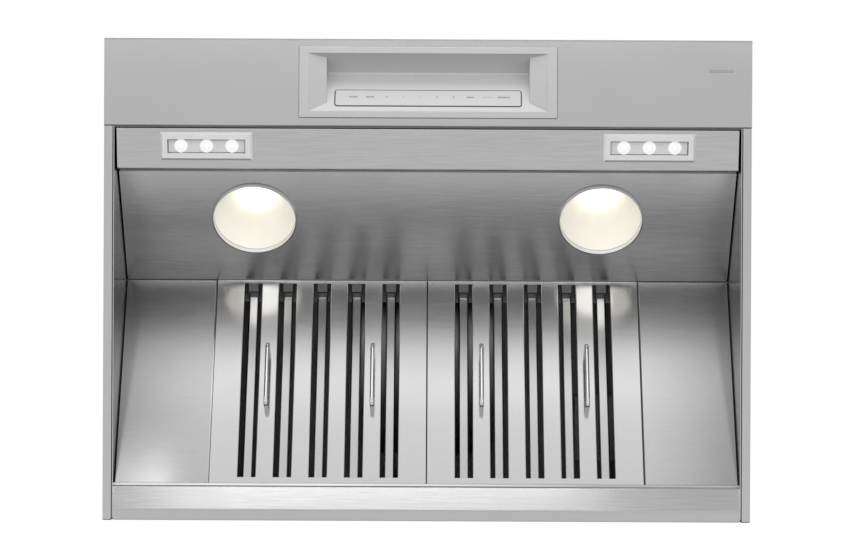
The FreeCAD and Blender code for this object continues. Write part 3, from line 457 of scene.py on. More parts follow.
plasticRoughSpread = 0.04
plasticColumns = ("dark", "light", "rough", "metallic", "scale", "bump")
plasticLooks = {
    "bezelSilver": (0.47, 0.51, 0.45, 0.15, 1600, 0.02),
    "ledTrim": (0.62, 0.68, 0.42, 0.30, 1600, 0.02),
    "ledTraySilver": (0.60, 0.67, 0.30, 0.40, 900, 0.03),
    "touchPanel": (0.535, 0.565, 0.30, 0.05, 700, 0.004),
    "socketCeramic": ((0.70, 0.67, 0.60), (0.80, 0.77, 0.70), 0.55, 0.0, 800, 0.06),
    "darkCase": ((0.030, 0.030, 0.032), (0.055, 0.055, 0.058), 0.48, 0.0, 900, 0.12),
    "motorPaint": ((0.045, 0.047, 0.050), (0.075, 0.077, 0.080), 0.38, 0.0, 420, 0.08),
    # a near-black finish for gaps and seams, painted shade
    "gapShade": (0.045, 0.075, 0.60, 0.0, 1500, 0.05),
    "seamShade": (0.085, 0.115, 0.55, 0.0, 1500, 0.04),
    # a darker copy of the bezel silver for its flat faces, painted shade
    "bezelFlatShade": (0.41, 0.445, 0.45, 0.15, 1600, 0.02),
    # a flat light grey on steel bends, a painted reflection in place of what they mirror
    "bendLitGrey": (0.42, 0.46, 0.50, 0.20, 1500, 0.02),
    # a darker grey on the lip's front bend, painted shade
    "lipEdgeShade": (0.31, 0.34, 0.50, 0.20, 1500, 0.02),
    "trimShade": (0.32, 0.36, 0.45, 0.0, 1600, 0.02),
    "printedMark": (0.16, 0.22, 0.50, 0.0, 2500, 0.01),
    "faintMark": (0.36, 0.40, 0.50, 0.0, 2500, 0.01),
    # a light grey for edges and rims, painted highlight
    "edgeHighlight": (0.62, 0.68, 0.40, 0.10, 1600, 0.01),
    "badgePlate": (0.30, 0.36, 0.30, 0.90, 1500, 0.02),
}


def addMouldGrain(tree, surface, scale, rough, bump=None, depth=bumpDepths["moulded"]):
    grain = useGroup(tree, mouldGrain, Scale=scale)
    addRoughness(tree, surface, grain["Tone"], rough)
    if bump:
        addBump(tree, surface, grain["Height"], bump, depth)
    return grain["Tone"]


def makePlastic(name, look):
    material, tree, surface = newFinish(name, look["metallic"])
    rough = around(look["rough"], plasticRoughSpread)
    tone = addMouldGrain(tree, surface, look["scale"], rough, look["bump"])
    dark, light = [shade if isinstance(shade, tuple) else grey(shade) for shade in (look["dark"], look["light"])]
    feed(tree, mixColour(tree, tone, dark, light), surface.inputs["Base Color"])
    return material


bandedGrain = {"scale": 1500.0, "rough": (0.44, 0.54), "bump": 0.02}
# every banded look is painted light and shade, set by position
bandedLooks = {
    # painted light and shade along the left filler seam, dark at its top
    "seamShading": {"axis": "Z", "span": (-0.290, -0.135),
                 "tones": [(0.0, 0.50), (0.30, 0.62), (0.45, 0.80), (0.64, 0.62), (0.74, 0.10), (1.0, 0.06)]},
    # painted shade on the lamp panel's edge, darker over the fillers
    "panelEdgeShade": {"axis": "X", "span": (0.300, 0.316), "bothHalves": True,
                  "tones": [(0.0, 0.20), (0.48, 0.20), (0.52, 0.030), (1.0, 0.030)]},
    # painted highlight on the trough's front roll, fading to the right
    "rollHighlight": {"axis": "X", "span": (-0.45, 0.45),
                   "tones": [(0.0, 0.80), (0.33, 0.87), (0.46, 0.77), (0.61, 0.66), (0.71, 0.55), (0.77, 0.47),
                             (1.0, 0.45)]},
    # painted shade in the crease behind the roll
    "rollSeamShade": {"axis": "X", "span": (-0.45, 0.45),
                 "tones": [(0.0, 0.22), (0.30, 0.20), (0.45, 0.15), (0.62, 0.14), (0.76, 0.27), (1.0, 0.32)]},
    # painted shade on the recess's front wall
    "recessFrontShade": {"axis": "Z", "span": (-0.298, -0.262),
                    "tones": [(0.0, 0.36), (0.44, 0.415), (0.78, 0.50), (1.0, 0.55)]},
    # painted light and shade on the recess's rear slope
    "recessRearShade": {"axis": "Z", "span": (-0.300, -0.260),
                   "tones": [(0.0, 0.555), (0.57, 0.545), (0.66, 0.505), (0.72, 0.48), (0.78, 0.452),
                             (0.86, 0.475), (1.0, 0.51)]},
}


def makeBanded(name, look):
    material, tree, surface = newFinish(name)
    feed(tree, bandTones(tree, look), surface.inputs["Base Color"])
    addMouldGrain(tree, surface, bandedGrain["scale"], bandedGrain["rough"], bandedGrain["bump"])
    return material


boardLook = {
    "tracks": {"Scale": 160.0, "Mortar Size": 0.03, "Color1": (0.012, 0.085, 0.035),
               "Color2": (0.018, 0.110, 0.045), "Mortar": (0.060, 0.240, 0.100)},
    "scale": 900.0, "rough": (0.28, 0.42), "bump": 0.10,
}


def makeCircuitBoard(look):
    material, tree, surface = newFinish("circuitBoard")
    tracks = put(tree, "ShaderNodeTexBrick", {"Vector": objectPlace(tree), **look["tracks"]})
    feed(tree, tracks.outputs["Color"], surface.inputs["Base Color"])
    addMouldGrain(tree, surface, look["scale"], look["rough"])
    addBump(tree, surface, tracks.outputs["Fac"], look["bump"], bumpDepths["tracks"])
    return material


lampLook = {
    "mouthY": -0.4327, "mouthZ": -0.2084, "lean": 38.1, "midBand": 0.01,
    "shade": (0.86, 0.835, 0.755), "bright": (0.90, 0.88, 0.82),
    "enamelScale": 240.0, "enamelRough": (0.30, 0.42), "enamelBump": 0.05,
    "bulb": 1.35, "bulbBase": (0.9, 0.89, 0.86), "bulbWarm": (1.0, 0.98, 0.94), "bulbWhite": (1.0, 0.99, 0.97),
    "bulbScale": 600.0, "bulbRough": (0.3, 0.5),
}
ledLook = {
    "centreX": 0.3128, "pitch": 0.036, "centreY": -0.5281, "radius": 0.0096,
    "glow": 0.8, "base": 0.18, "rough": 0.25, "tint": (1.0, 1.0, 0.99),
    "rings": [(0.0, 1.0), (0.36, 1.0), (0.46, 0.80), (0.58, 0.97), (0.84, 0.95), (1.0, 0.76)],
}


def makeEnamel(look):
    material, tree, surface = newFinish("creamEnamel")
    depth = bumpDepths["enamel"]
    tone = addMouldGrain(tree, surface, look["enamelScale"], look["enamelRough"], look["enamelBump"], depth)
    feed(tree, mixColour(tree, tone, look["shade"], look["bright"]), surface.inputs["Base Color"])
    return material


def makeBulbGlass(look):
    material, tree, surface = newFinish("frostedBulb")
    tone = addMouldGrain(tree, surface, look["bulbScale"], look["bulbRough"])
    feed(tree, mixColour(tree, tone, look["bulbWarm"], look["bulbWhite"]), surface.inputs["Emission Color"])
    give(tree, surface.inputs["Emission Strength"], look["bulb"])
    give(tree, surface.inputs["Base Color"], look["bulbBase"])
    return material


def makeLedLens(look):
    material, tree, surface = newFinish("ledLens")
    place = splitXyz(tree, objectPlace(tree))
    fromMiddle = mathNode(tree, "SUBTRACT", mathNode(tree, "ABSOLUTE", place["X"]), look["centreX"])
    half = look["pitch"] / 2
    acrossX = mathNode(tree, "WRAP", fromMiddle, half, -half)  # every lens starts its rings anew
    acrossY = mathNode(tree, "SUBTRACT", place["Y"], look["centreY"])
    squares = [mathNode(tree, "POWER", mathNode(tree, "ABSOLUTE", across), 2.0) for across in (acrossX, acrossY)]
    share = mathNode(tree, "DIVIDE", mathNode(tree, "SQRT", mathNode(tree, "ADD", *squares)), look["radius"])
    feed(tree, toneRamp(tree, share, look["rings"], look["tint"]), surface.inputs["Emission Color"])
    give(tree, surface.inputs["Emission Strength"], look["glow"])
    give(tree, surface.inputs["Base Color"], grey(look["base"]))
    give(tree, surface.inputs["Roughness"], look["rough"])
    return material


finishes = {name: makeSteel(name, {**plainSteel, **look}) for name, look in steelLooks.items()}
finishes.update({name: makePlastic(name, dict(zip(plasticColumns, row))) for name, row in plasticLooks.items()})
finishes.update({name: makeBanded(name, look) for name, look in bandedLooks.items()})
finishes["galvanisedSheet"] = makeGalvanised(zincLook)
finishes["circuitBoard"] = makeCircuitBoard(boardLook)
finishes["creamEnamel"] = makeEnamel(lampLook)
finishes["frostedBulb"] = makeBulbGlass(lampLook)
finishes["ledLens"] = makeLedLens(ledLook)

nodeFinishes = {
    "shellSteel": ["front_lip", "canopy_slope", "top_panel", "back_panel"],
    "shellSteelSides": ["left_side_skin", "right_side_skin"],
    "linerSteel": ["light_rail", "grease_trough"],
    "lampPanelSteel": ["lamp_panel"],
    "leftFillerShadingSteel": ["left_filler_panel"],
    "rightFillerShadingSteel": ["right_filler_panel"],
    "linerSteelSides": ["left_inner_wall", "right_inner_wall"],
    "filterSteel": ["left_filter_face", "left_filter_frame", "right_filter_face", "right_filter_frame"],
    "baffleShadeSteel": ["left_filter_baffles", "right_filter_baffles"],
    "polishedRod": ["left_filter_handles", "right_filter_handles"],
    # parts seen only through the slots take the painted shade
    "insideShade": ["apex_beam", "rear_rail", "filter_tie", "blower_housing"],
    "galvanisedSheet": ["blower_wheel", "wheel_rings", "motor_spider", "duct_collar", "front_damper_flap",
                        "rear_damper_flap", "junction_box", "junction_cover"],
    "springSteel": ["filter_clips", "blower_shaft", "flap_pins"],
    "bezelSilver": ["control_bezel"],
    "ledTrim": ["left_led_frame", "right_led_frame"],
    "ledTraySilver": ["left_led_tray", "right_led_tray"],
    "ledLens": ["left_led_lenses", "right_led_lenses"],
    "touchPanel": ["touch_glass"],
    "creamEnamel": ["left_lamp_reflector", "right_lamp_reflector"],
    "lampTrimChrome": ["left_lamp_trim", "right_lamp_trim"],
    "frostedBulb": ["left_lamp_bulb", "right_lamp_bulb"],
    "socketCeramic": ["left_lamp_socket", "right_lamp_socket"],
    "circuitBoard": ["touch_board", "left_led_board", "right_led_board"],
    "darkCase": ["control_module", "led_driver"],
    "motorPaint": ["blower_motor"],
    "zincScrew": ["spider_screws", "top_screws"],
}
for finishName, names in nodeFinishes.items():
    for name in names:
        hoodNodes[name].data.materials.clear()
        hoodNodes[name].data.materials.append(finishes[finishName])

filterBox = {"halfWidth": 0.15325, "middle": 0.15425, "top": (-0.339, -0.135), "angle": 28.02, "rear": 0.0335,
             "facing": 0.5}


def darkenInside(side, outward, sizes):
    # painted shade: the faces that look into the filter take the dark finish, the outer ones stay bare
    mesh = hoodNodes[side + "_filter_frame"].data
    mesh.materials.append(finishes["insideShade"])
    turn = math.radians(sizes["angle"])
    for face in mesh.polygons:
        x = face.center.x - outward * sizes["middle"]
        y = face.center.y - sizes["top"][0]
        z = face.center.z - sizes["top"][1]
        run = y * math.cos(turn) - z * math.sin(turn)
        depth = y * math.sin(turn) + z * math.cos(turn)
        facingX = face.normal.x
        facingRun = face.normal.y * math.cos(turn) - face.normal.z * math.sin(turn)
        inX = abs(facingX) > sizes["facing"] and facingX * x < 0
        inRun = abs(facingRun) > sizes["facing"] and facingRun * (run - sizes["halfWidth"]) < 0
        behind = max(abs(facingX), abs(facingRun)) < sizes["facing"] and depth < sizes["rear"]
        if inX or inRun or behind:
            face.material_index = 1


for side, outward in sides:
    darkenInside(side, outward, filterBox)


def below(limit):
    return (-math.inf, limit)


def above(limit):
    return (limit, math.inf)


def faceFacts(face, look):
    normal, centre = face.normal, face.center
    lean = math.radians(look["lean"])
    mouthY, mouthZ = centre.y - look["mouthY"], centre.z - look["mouthZ"]
    return {
        "normalX": normal.x, "normalY": normal.y, "normalZ": normal.z, "x": centre.x, "y": centre.y, "z": centre.z,
        # how far a face looks out along the lamps' axis, and how deep behind their mouths it lies
        "facesOut": normal.y * math.sin(lean) - normal.z * math.cos(lean),
        "lampDepth": mouthZ * math.cos(lean) - mouthY * math.sin(lean),
    }


def paintFaces(node, finish, *choices):
    # a face takes the finish when it lies within all the spans of one choice
    mesh = hoodNodes[node].data
    mesh.materials.append(finishes[finish])
    for face in mesh.polygons:
        facts = faceFacts(face, lampLook)
        if any(all(low < facts[key] < high for key, (low, high) in choice.items()) for choice in choices):
            face.material_index = len(mesh.materials) - 1


# the shell's own inside has the same painted shade, so that the slots look into the dark
paintFaces("top_panel", "insideShade", {"normalZ": below(-0.5)})
paintFaces("canopy_slope", "insideShade", {"normalZ": below(-0.3)}, {"normalY": above(0.2), "normalZ": below(0.0)})
paintFaces("back_panel", "insideShade", {"normalY": below(-0.5), "z": above(rimZ + 0.06)})
# faces with painted light and shade: lighter and darker finishes set face by face
paintFaces("front_lip", "lipEdgeShade", {"normalY": below(-0.03), "normalZ": below(-0.1)})
paintFaces("back_panel", "bendLitGrey", {"normalY": above(0.15), "normalZ": below(-0.15), "z": below(rimZ + 0.003)})
paintFaces("light_rail", "shadedSteel", {"normalY": below(-0.05)})
paintFaces("light_rail", "bendLitGrey", {"normalY": (0.25, 0.62), "normalZ": below(-0.5)})
paintFaces("control_bezel", "recessFrontShade", {"normalY": above(0.3), "normalZ": below(-0.3)})
paintFaces("control_bezel", "recessRearShade", {"normalY": below(-0.3), "normalZ": below(-0.3)})
paintFaces("control_bezel", "edgeHighlight", {"normalY": below(-0.3), "z": below(rimZ)})
paintFaces("control_bezel", "bezelFlatShade", {"normalY": (-0.2, 0.2), "normalZ": below(-0.5)})
paintFaces("lamp_panel", "panelEdgeShade", {"normalY": above(0.7)})
paintFaces("grease_trough", "rollHighlight", {"y": below(-0.0475), "normalZ": below(0.2)})
paintFaces("grease_trough", "rollSeamShade", {"y": (-0.0488, -0.0474), "normalZ": below(-0.2)})
# below, the lamp rims take painted shade and painted highlight, the filler seams painted light and shade, the
# filter tabs and LED frame bevels painted shade
rearHalf = above(lampLook["mouthY"] + lampLook["midBand"])
frontHalf = below(lampLook["mouthY"] - lampLook["midBand"])
for side, seam, inward in (("left", "seamShading", above(0.1)), ("right", "gapShade", below(-0.1))):
    paintFaces(side + "_lamp_trim", "seamShade", {"facesOut": above(0.05), "y": rearHalf})
    paintFaces(side + "_lamp_trim", "edgeHighlight", {"facesOut": below(0.3), "y": frontHalf})
    paintFaces(side + "_lamp_reflector", "edgeHighlight", {"facesOut": (-0.04, 0.04), "lampDepth": below(0.004)})
    paintFaces(side + "_lamp_reflector", "seamShade", {"facesOut": (0.04, 0.45), "lampDepth": (0.0, 0.008)})
    paintFaces(side + "_filler_panel", seam, {"normalX": inward, "x": (-0.32, 0.32)})
    paintFaces(side + "_filter_face", "tabShadeSteel", {"normalY": above(0.3), "normalZ": below(-0.85)})
    paintFaces(side + "_led_frame", "trimShade", {"normalY": above(0.5)})
print("finishes set on", sum(len(names) for names in nodeFinishes.values()), "nodes")


# pieces that the solids leave to this script

def addPiece(name, mesh, body, finish):
    piece = bpy.data.objects.new(name, mesh)
    scene.collection.objects.link(piece)
    if finish:
        mesh.materials.append(finishes[finish])
    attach(piece, body)
    return piece


def meshFrom(name, shape):
    bmesh.ops.recalc_face_normals(shape, faces=shape.faces)
    mesh = bpy.data.meshes.new(name)
    shape.to_mesh(mesh)
    shape.free()
    return mesh


def joinLoops(shape, loops):
    # every loop of points is joined to the next one
    for near, far in zip(loops, loops[1:]):
        for index in range(len(near)):
            after = (index + 1) % len(near)
            shape.faces.new((near[index], near[after], far[after], far[index]))


def closeEnds(shape, loops):
    shape.faces.new(loops[0])
    shape.faces.new(loops[-1])


def roundedOutline(width, depth, radius, steps=6):
    points = []
    for cornerX, cornerY, start in ((1, 1, 0), (-1, 1, 90), (-1, -1, 180), (1, -1, 270)):
        for step in range(steps + 1):
            turn = math.radians(start + 90 * step / steps)
            x = cornerX * (width / 2 - radius) + radius * math.cos(turn)
            y = cornerY * (depth / 2 - radius) + radius * math.sin(turn)
            points.append((x, y))
    return points


badge = {"width": 0.034, "depth": 0.0036, "thick": 0.0006, "x": 0.413, "y": -0.6367, "corner": 0.0006,
         "edge": 0.0003}


def makeBadgePlate(sizes):
    shape = bmesh.new()
    rows = []
    for shrink, z in ((0.0, 0.0), (0.0, sizes["edge"] - sizes["thick"]), (sizes["edge"], -sizes["thick"])):
        outline = roundedOutline(sizes["width"] - 2 * shrink, sizes["depth"] - 2 * shrink, sizes["corner"])
        rows.append([shape.verts.new((sizes["x"] + x, sizes["y"] + y, rimZ + z)) for x, y in outline])
    joinLoops(shape, rows)
    closeEnds(shape, rows)
    addPiece("badge_plate", meshFrom("badgePlate", shape), "hood", "badgePlate")


makeBadgePlate(badge)

touchStrip = {
    "valleyY": -0.6345, "valleyZ": 0.040, "run": 0.0565, "rise": 0.040, "valleyHalf": 0.1433,
    "bead": 0.0006, "beadSides": 12, "glassAlong": 0.0453, "proud": 0.0005, "lift": 0.00008,
    "marksAlong": 0.0437, "pitch": 0.02365, "firstX": -0.1059,
    "digitHeight": 0.0042, "digitShare": 0.7, "digitPlaces": (2, 3, 4, 5, 6), "faintDigit": 2,
    "strokeWidth": 0.0011, "strokeHeight": 0.0028, "strokePitch": 0.00175,
    "words": ((0, 7), (1, 7), (7, 6), (9, 10)), "faintWords": ((8, 8),),
}
slopeAngle = math.atan2(touchStrip["rise"], touchStrip["run"])
upsideDown = Matrix.Rotation(math.pi, 4, "X")
weldDistance = 1e-7


def onRearSlope(sizes, along, outward):
    # local x runs along the strip, local y up the slope as a reader sees it, local z out of the glass
    lean = Matrix.Rotation(-slopeAngle, 4, "X")
    start = Matrix.Translation((0, sizes["valleyY"], rimZ + sizes["valleyZ"]))
    return start @ lean @ Matrix.Translation((0, along, -outward)) @ upsideDown


def onTouchGlass(sizes):
    return onRearSlope(sizes, sizes["marksAlong"], sizes["proud"] + sizes["lift"])


def makeDigits(sizes):
    shape = bmesh.new()
    for count, place in enumerate(sizes["digitPlaces"]):
        curve = bpy.data.curves.new("digit", "FONT")
        curve.body = str(count)
        curve.size = sizes["digitHeight"] / sizes["digitShare"]
        curve.align_x = "CENTER"
        curve.align_y = "CENTER"
        curve.extrude = sizes["lift"] / 2
        holder = bpy.data.objects.new("digit", curve)
        scene.collection.objects.link(holder)
        digit = bpy.data.meshes.new_from_object(holder.evaluated_get(bpy.context.evaluated_depsgraph_get()))
        digit.transform(onTouchGlass(sizes) @ Matrix.Translation((sizes["firstX"] + place * sizes["pitch"], 0, 0)))
        for face in digit.polygons:
            face.material_index = 1 if count == sizes["faintDigit"] else 0
        shape.from_mesh(digit)
        bpy.data.meshes.remove(digit)
        bpy.data.objects.remove(holder)
        bpy.data.curves.remove(curve)
    bmesh.ops.remove_doubles(shape, verts=shape.verts, dist=weldDistance)
    mesh = meshFrom("touchDigits", shape)
    addPiece("touch_digits", mesh, "hood", "printedMark")
    mesh.materials.append(finishes["faintMark"])


def makeSeal(name, place, sizes, finish):
    # a flat ring round a rounded rectangle
    inner = roundedOutline(sizes["width"], sizes["height"], sizes["corner"])
    width = sizes["width"] + 2 * sizes["side"]
    height = sizes["height"] + sizes["top"] + sizes["foot"]
    shift = (sizes["top"] - sizes["foot"]) / 2
    outer = [(x, y + shift) for x, y in roundedOutline(width, height, sizes["corner"] + sizes["side"])]
    shape = bmesh.new()
    loops = []
    for outline, lift in ((inner, 0.0), (inner, sizes["thick"]), (outer, sizes["thick"]), (outer, 0.0)):
        loops.append([shape.verts.new(place @ Vector((x, y, lift))) for x, y in outline])
    joinLoops(shape, loops + loops[:1])
    addPiece(name, meshFrom(name, shape), "hood", finish)


def makeValleyEdge(sizes):
    # a thin rod in a light finish along the valley, where the two slopes of the recess meet, is a painted
    # highlight
    shape = bmesh.new()
    turns = [2 * math.pi * step / sizes["beadSides"] for step in range(sizes["beadSides"])]
    spokes = [sizes["bead"] * Vector((0, math.cos(turn), math.sin(turn))) for turn in turns]
    ends = []
    for x in (-sizes["valleyHalf"], sizes["valleyHalf"]):
        centre = Vector((x, sizes["valleyY"], rimZ + sizes["valleyZ"] - sizes["bead"]))
        ends.append([shape.verts.new(centre + spoke) for spoke in spokes])
    joinLoops(shape, ends)
    closeEnds(shape, ends)
    addPiece("valley_highlight", meshFrom("edgeHighlight", shape), "hood", "edgeHighlight")


# dark rings round the touch glass, the bezel and the LED trays are painted shade of the gaps round them
glassShadeRing = {"width": 0.262, "height": 0.027, "corner": 0.003, "side": 0.0017, "top": 0.0013, "foot": 0.0020,
             "thick": 0.0003}
bezelShadeRing = {"width": 0.364, "height": 0.100, "corner": 0.0004, "side": 0.0006, "top": 0.0002, "foot": 0.0009,
             "thick": 0.0003, "y": -0.619}
trayShadeRing = {"width": 0.1076, "height": 0.0172, "corner": 0.0003, "side": 0.0008, "top": 0.0008, "foot": 0.0008,
            "thick": 0.0003, "x": 0.3128, "railY": -0.5545, "railZ": 0.0004, "along": 0.0276, "depth": 0.002,
            "angle": 12.53}
# a dark strip in the seam between the lip and the rail is painted shade
seamShadeStrip = {"x": (-0.4495, 0.4495), "y": (-0.556, -0.5545), "z": (0.0010, 0.0030)}
# a dark block in the inner corner of the rim at the wall, and a dark strip along the end of its flange, are
# painted shade
rimEnd = {"cornerShadeX": (0.4419, 0.4442), "cornerShadeY": (-0.0036, -0.0012), "stripX": (0.4442, 0.4555),
          "stripY": (-0.0011, 0.0), "z": (-0.0001, 0.0006)}


def makeSeals():
    makeSeal("glass_shade_ring", onRearSlope(touchStrip, touchStrip["glassAlong"], 0.0), glassShadeRing, "gapShade")
    makeSeal("bezel_shade_ring", Matrix.Translation((0, bezelShadeRing["y"], rimZ)) @ upsideDown, bezelShadeRing, "seamShade")
    lean = Matrix.Rotation(math.radians(trayShadeRing["angle"]), 4, "X")
    inRail = Matrix.Translation((0, trayShadeRing["along"], trayShadeRing["depth"]))
    for side, outward in sides:
        start = Matrix.Translation((outward * trayShadeRing["x"], trayShadeRing["railY"], rimZ + trayShadeRing["railZ"]))
        makeSeal(side + "_tray_shade_ring", start @ lean @ inRail @ upsideDown, trayShadeRing, "seamShade")


def makeBoxes(name, boxes, finish):
    # every box has its span along x, y and z, with z from the rim
    shape = bmesh.new()
    for spanX, spanY, spanZ in boxes:
        low = Vector((min(spanX), min(spanY), rimZ + min(spanZ)))
        high = Vector((max(spanX), max(spanY), rimZ + max(spanZ)))
        bmesh.ops.create_cube(shape, size=1.0, matrix=Matrix.LocRotScale((low + high) / 2, None, high - low))
    addPiece(name, meshFrom(name, shape), "hood", finish)


def makeRimEnds(sizes):
    for side, outward in sides:
        boxes = []
        for part in ("cornerShade", "strip"):
            boxes.append(([outward * x for x in sizes[part + "X"]], sizes[part + "Y"], sizes["z"]))
        makeBoxes(side + "_rim_end", boxes, "gapShade")


makeDigits(touchStrip)
makeSeals()
makeBoxes("seam_shade_strip", [(seamShadeStrip["x"], seamShadeStrip["y"], seamShadeStrip["z"])], "seamShade")
makeRimEnds(rimEnd)
makeValleyEdge(touchStrip)
print("badge plate, digits, shade rings and valley highlight made")


# repeats by geometry nodes

def newGeometryTree(name, sizeLabels):
    tree = bpy.data.node_groups.new(name, "GeometryNodeTree")
    kinds = {"Geometry": "NodeSocketGeometry", **dict.fromkeys(sizeLabels, "NodeSocketFloat"),
             "Turn": "NodeSocketRotation", "Finish": "NodeSocketMaterial"}
    for label, kind in kinds.items():
        tree.interface.new_socket(label, in_out="INPUT", socket_type=kind)
    tree.interface.new_socket("Geometry", in_out="OUTPUT", socket_type="NodeSocketGeometry")
    return tree, put(tree, "NodeGroupInput").outputs, put(tree, "NodeGroupOutput").inputs


def copyOnPoints(tree, given, result, shape):
    sockets = {"Points": given["Geometry"], "Instance": shape, "Rotation": given["Turn"]}
    copies = put(tree, "GeometryNodeInstanceOnPoints", sockets)
    real = put(tree, "GeometryNodeRealizeInstances", {"Geometry": copies.outputs[0]})
    paint = put(tree, "GeometryNodeSetMaterial", {"Geometry": real.outputs[0], "Material": given["Finish"]})
    feed(tree, paint.outputs[0], result["Geometry"])


def grow(name, tree, points, values, body):
    # the tree's result becomes a plain mesh, so that no modifier is left on the piece
    seed = bpy.data.meshes.new(name + "Points")
    seed.from_pydata(points, [], [])
    holder = bpy.data.objects.new(name + "Seed", seed)
    scene.collection.objects.link(holder)
    modifier = holder.modifiers.new("grow", "NODES")
    modifier.node_group = tree
    for item in tree.interface.items_tree:
        if item.item_type == "SOCKET" and item.in_out == "INPUT" and item.name in values:
            modifier[item.identifier] = values[item.name]
    bpy.context.view_layer.update()
    made = holder.evaluated_get(bpy.context.evaluated_depsgraph_get())
    mesh = bpy.data.meshes.new_from_object(made)
    mesh.name = name
    holder.modifiers.remove(modifier)
    bpy.data.objects.remove(holder)
    return addPiece(name, mesh, body, None)


def shiftUp(tree, geometry, z):
    sockets = {"Geometry": geometry, "Translation": combineXyz(tree, 0.0, 0.0, z)}
    return put(tree, "GeometryNodeTransform", sockets).outputs[0]


def boxOf(tree, *lengths):
    return put(tree, "GeometryNodeMeshCube", {"Size": combineXyz(tree, *lengths)}).outputs["Mesh"]


screwSizes = {"Head Radius": 0.004, "Head Height": 0.0024, "Shank Radius": 0.002, "Shank Length": 0.008,
              "Slot Width": 0.0011}
screwShape = {"headSides": 24, "headRows": 2, "topRings": 4, "topFrom": 0.9, "edgeDrop": -0.42, "slotShare": 1.15,
              "shankSides": 16}
screwRows = {
    "top": {"count": 6, "pitch": 0.150, "y": -0.294, "z": 0.157, "turn": (0, 0, 0.4)},
    "collar": {"count": 6, "radius": 0.1335, "y": -0.1525, "z": 0.1582},
    "spider": {"count": 3, "radius": 0.0805, "x": -0.100, "y": -0.2205, "z": -0.008, "turn": (0, -math.pi / 2, 0)},
}


def makeScrewTree(look):
    tree, size, result = newGeometryTree("crossHeadScrews", screwSizes)
    radius, height = size["Head Radius"], size["Head Height"]
    sockets = {"Vertices": look["headSides"], "Side Segments": look["headRows"], "Fill Segments": look["topRings"],
               "Radius": radius, "Depth": height}
    head = put(tree, "GeometryNodeMeshCylinder", sockets, fill_type="TRIANGLE_FAN").outputs["Mesh"]
    raised = shiftUp(tree, head, mathNode(tree, "MULTIPLY", height, 0.5))
    # the top sinks towards its edge, which makes a pan head
    place = splitXyz(tree, put(tree, "GeometryNodeInputPosition").outputs[0])
    squareX, squareY, squareRadius = [mathNode(tree, "POWER", x, 2.0) for x in (place["X"], place["Y"], radius)]
    share = mathNode(tree, "DIVIDE", mathNode(tree, "ADD", squareX, squareY), squareRadius)
    onTop = mathNode(tree, "GREATER_THAN", place["Z"], mathNode(tree, "MULTIPLY", height, look["topFrom"]))
    drop = mathNode(tree, "MULTIPLY", height, look["edgeDrop"])
    sink = mathNode(tree, "MULTIPLY", mathNode(tree, "MULTIPLY", share, onTop), drop)
    pan = put(tree, "GeometryNodeSetPosition", {"Geometry": raised, "Offset": combineXyz(tree, 0.0, 0.0, sink)})
    crossed = put(tree, "GeometryNodeMeshBoolean", {"Mesh 1": pan.outputs[0]}, operation="DIFFERENCE")
    slotLength = mathNode(tree, "MULTIPLY", radius, look["slotShare"])
    for lengthX, lengthY in ((slotLength, size["Slot Width"]), (size["Slot Width"], slotLength)):
        feed(tree, shiftUp(tree, boxOf(tree, lengthX, lengthY, height), height), crossed.inputs["Mesh 2"])
    sockets = {"Vertices": look["shankSides"], "Radius": size["Shank Radius"], "Depth": size["Shank Length"]}
    shank = put(tree, "GeometryNodeMeshCylinder", sockets).outputs["Mesh"]
    whole = put(tree, "GeometryNodeJoinGeometry")
    feed(tree, shiftUp(tree, shank, mathNode(tree, "MULTIPLY", size["Shank Length"], -0.5)), whole.inputs[0])
    feed(tree, crossed.outputs["Mesh"], whole.inputs[0])
    copyOnPoints(tree, size, result, whole.outputs[0])
    return tree


def ringOf(row):
    turns = [2 * math.pi * index / row["count"] for index in range(row["count"])]
    return [(row["radius"] * math.cos(turn), row["radius"] * math.sin(turn)) for turn in turns]


def makeScrews(sizes, look, rows):
    tree = makeScrewTree(look)
    values = {**sizes, "Finish": finishes["zincScrew"]}
    top, collar, spider = rows["top"], rows["collar"], rows["spider"]
    first = -top["pitch"] * (top["count"] - 1) / 2
    places = [(first + index * top["pitch"], top["y"], top["z"]) for index in range(top["count"])]
    places += [(x, collar["y"] + y, collar["z"]) for x, y in ringOf(collar)]
    piece = grow("top_screw_heads", tree, places, {**values, "Turn": top["turn"]}, "hood")
    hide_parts("top_screws")
    places = [(spider["x"], spider["y"] + y, spider["z"] + z) for z, y in ringOf(spider)]
    piece = grow("spider_screw_heads", tree, places, {**values, "Turn": spider["turn"]}, "hood")
    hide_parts("spider_screws")


makeScrews(screwSizes, screwShape, screwRows)
print("screws made")

strokeCorner = {"share": 0.3, "steps": 6}


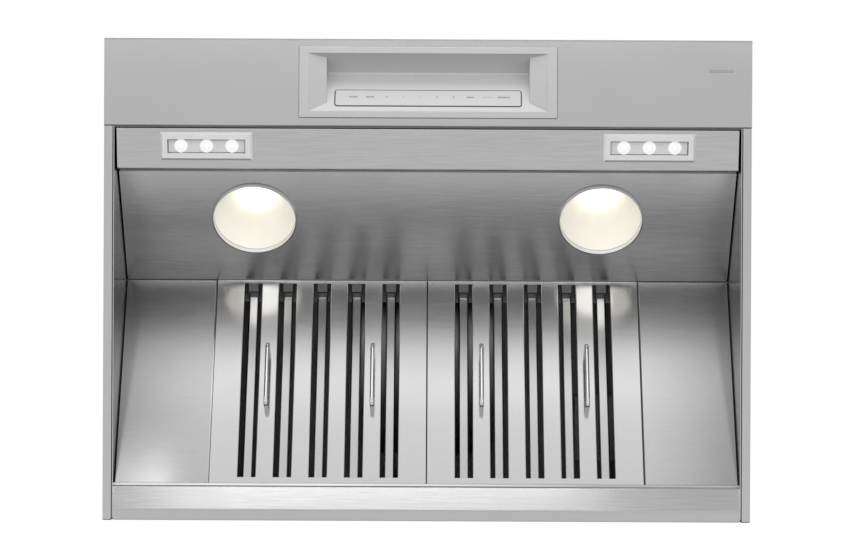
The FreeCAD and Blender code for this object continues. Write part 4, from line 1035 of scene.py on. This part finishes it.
def makeStrokeTree(corner):
    tree, given, result = newGeometryTree("touchStrokes", ["Width", "Height", "Thickness"])
    sockets = {"Width": given["Width"], "Height": given["Height"]}
    outline = put(tree, "GeometryNodeCurvePrimitiveQuadrilateral", sockets)
    radius = mathNode(tree, "MULTIPLY", given["Width"], corner["share"])
    sockets = {"Curve": outline.outputs[0], "Count": corner["steps"], "Radius": radius}
    soft = put(tree, "GeometryNodeFilletCurve", sockets, mode="POLY")
    filled = put(tree, "GeometryNodeFillCurve", {"Curve": soft.outputs[0]}, mode="NGONS")
    sockets = {"Mesh": filled.outputs[0], "Offset Scale": given["Thickness"]}
    copyOnPoints(tree, given, result, put(tree, "GeometryNodeExtrudeMesh", sockets).outputs["Mesh"])
    return tree


def makeTouchWords(sizes):
    # rows of plain strokes mark the touch keys
    tree = makeStrokeTree(strokeCorner)
    place = onTouchGlass(sizes)
    values = {"Width": sizes["strokeWidth"], "Height": sizes["strokeHeight"], "Thickness": sizes["lift"] / 2,
              "Turn": tuple(place.to_euler())}
    rows = (("touch_words", "words", "printedMark"), ("faint_touch_words", "faintWords", "faintMark"))
    for name, words, finish in rows:
        points = []
        for spot, count in sizes[words]:
            first = sizes["firstX"] + spot * sizes["pitch"] - sizes["strokePitch"] * (count - 1) / 2
            points += [tuple(place @ Vector((first + step * sizes["strokePitch"], 0, 0))) for step in range(count)]
        grow(name, tree, points, {**values, "Finish": finishes[finish]}, "hood")


makeTouchWords(touchStrip)
print("touch marks made")

slotPlates = {"Width": 0.014, "Length": 0.0090, "Thickness": 0.0007}
slotPlaces = {"count": 5, "pitch": 0.0505, "run": 0.01625, "depth": 0.01535, "turn": 44.8}


def makePlateTree():
    tree, given, result = newGeometryTree("slotPlates", slotPlates)
    copyOnPoints(tree, given, result, boxOf(tree, given["Width"], given["Length"], given["Thickness"]))
    return tree


def makeSlotPlates(sizes, places, box):
    # below each slot's tab a short plate leads on to the head of the baffle
    tree = makePlateTree()
    turn = math.radians(box["angle"])
    y = box["top"][0] + places["run"] * math.cos(turn) + places["depth"] * math.sin(turn)
    z = box["top"][1] - places["run"] * math.sin(turn) + places["depth"] * math.cos(turn)
    # the plates take the darker steel as painted shade
    values = {**sizes, "Turn": (math.radians(places["turn"]), 0, 0), "Finish": finishes["shadedSteel"]}
    for side, outward in sides:
        first = outward * box["middle"] - places["pitch"] * (places["count"] - 1) / 2
        points = [(first + index * places["pitch"], y, z) for index in range(places["count"])]
        grow(side + "_slot_plates", tree, points, values, side + "_filter")


makeSlotPlates(slotPlates, slotPlaces, filterBox)
print("slot plates made")
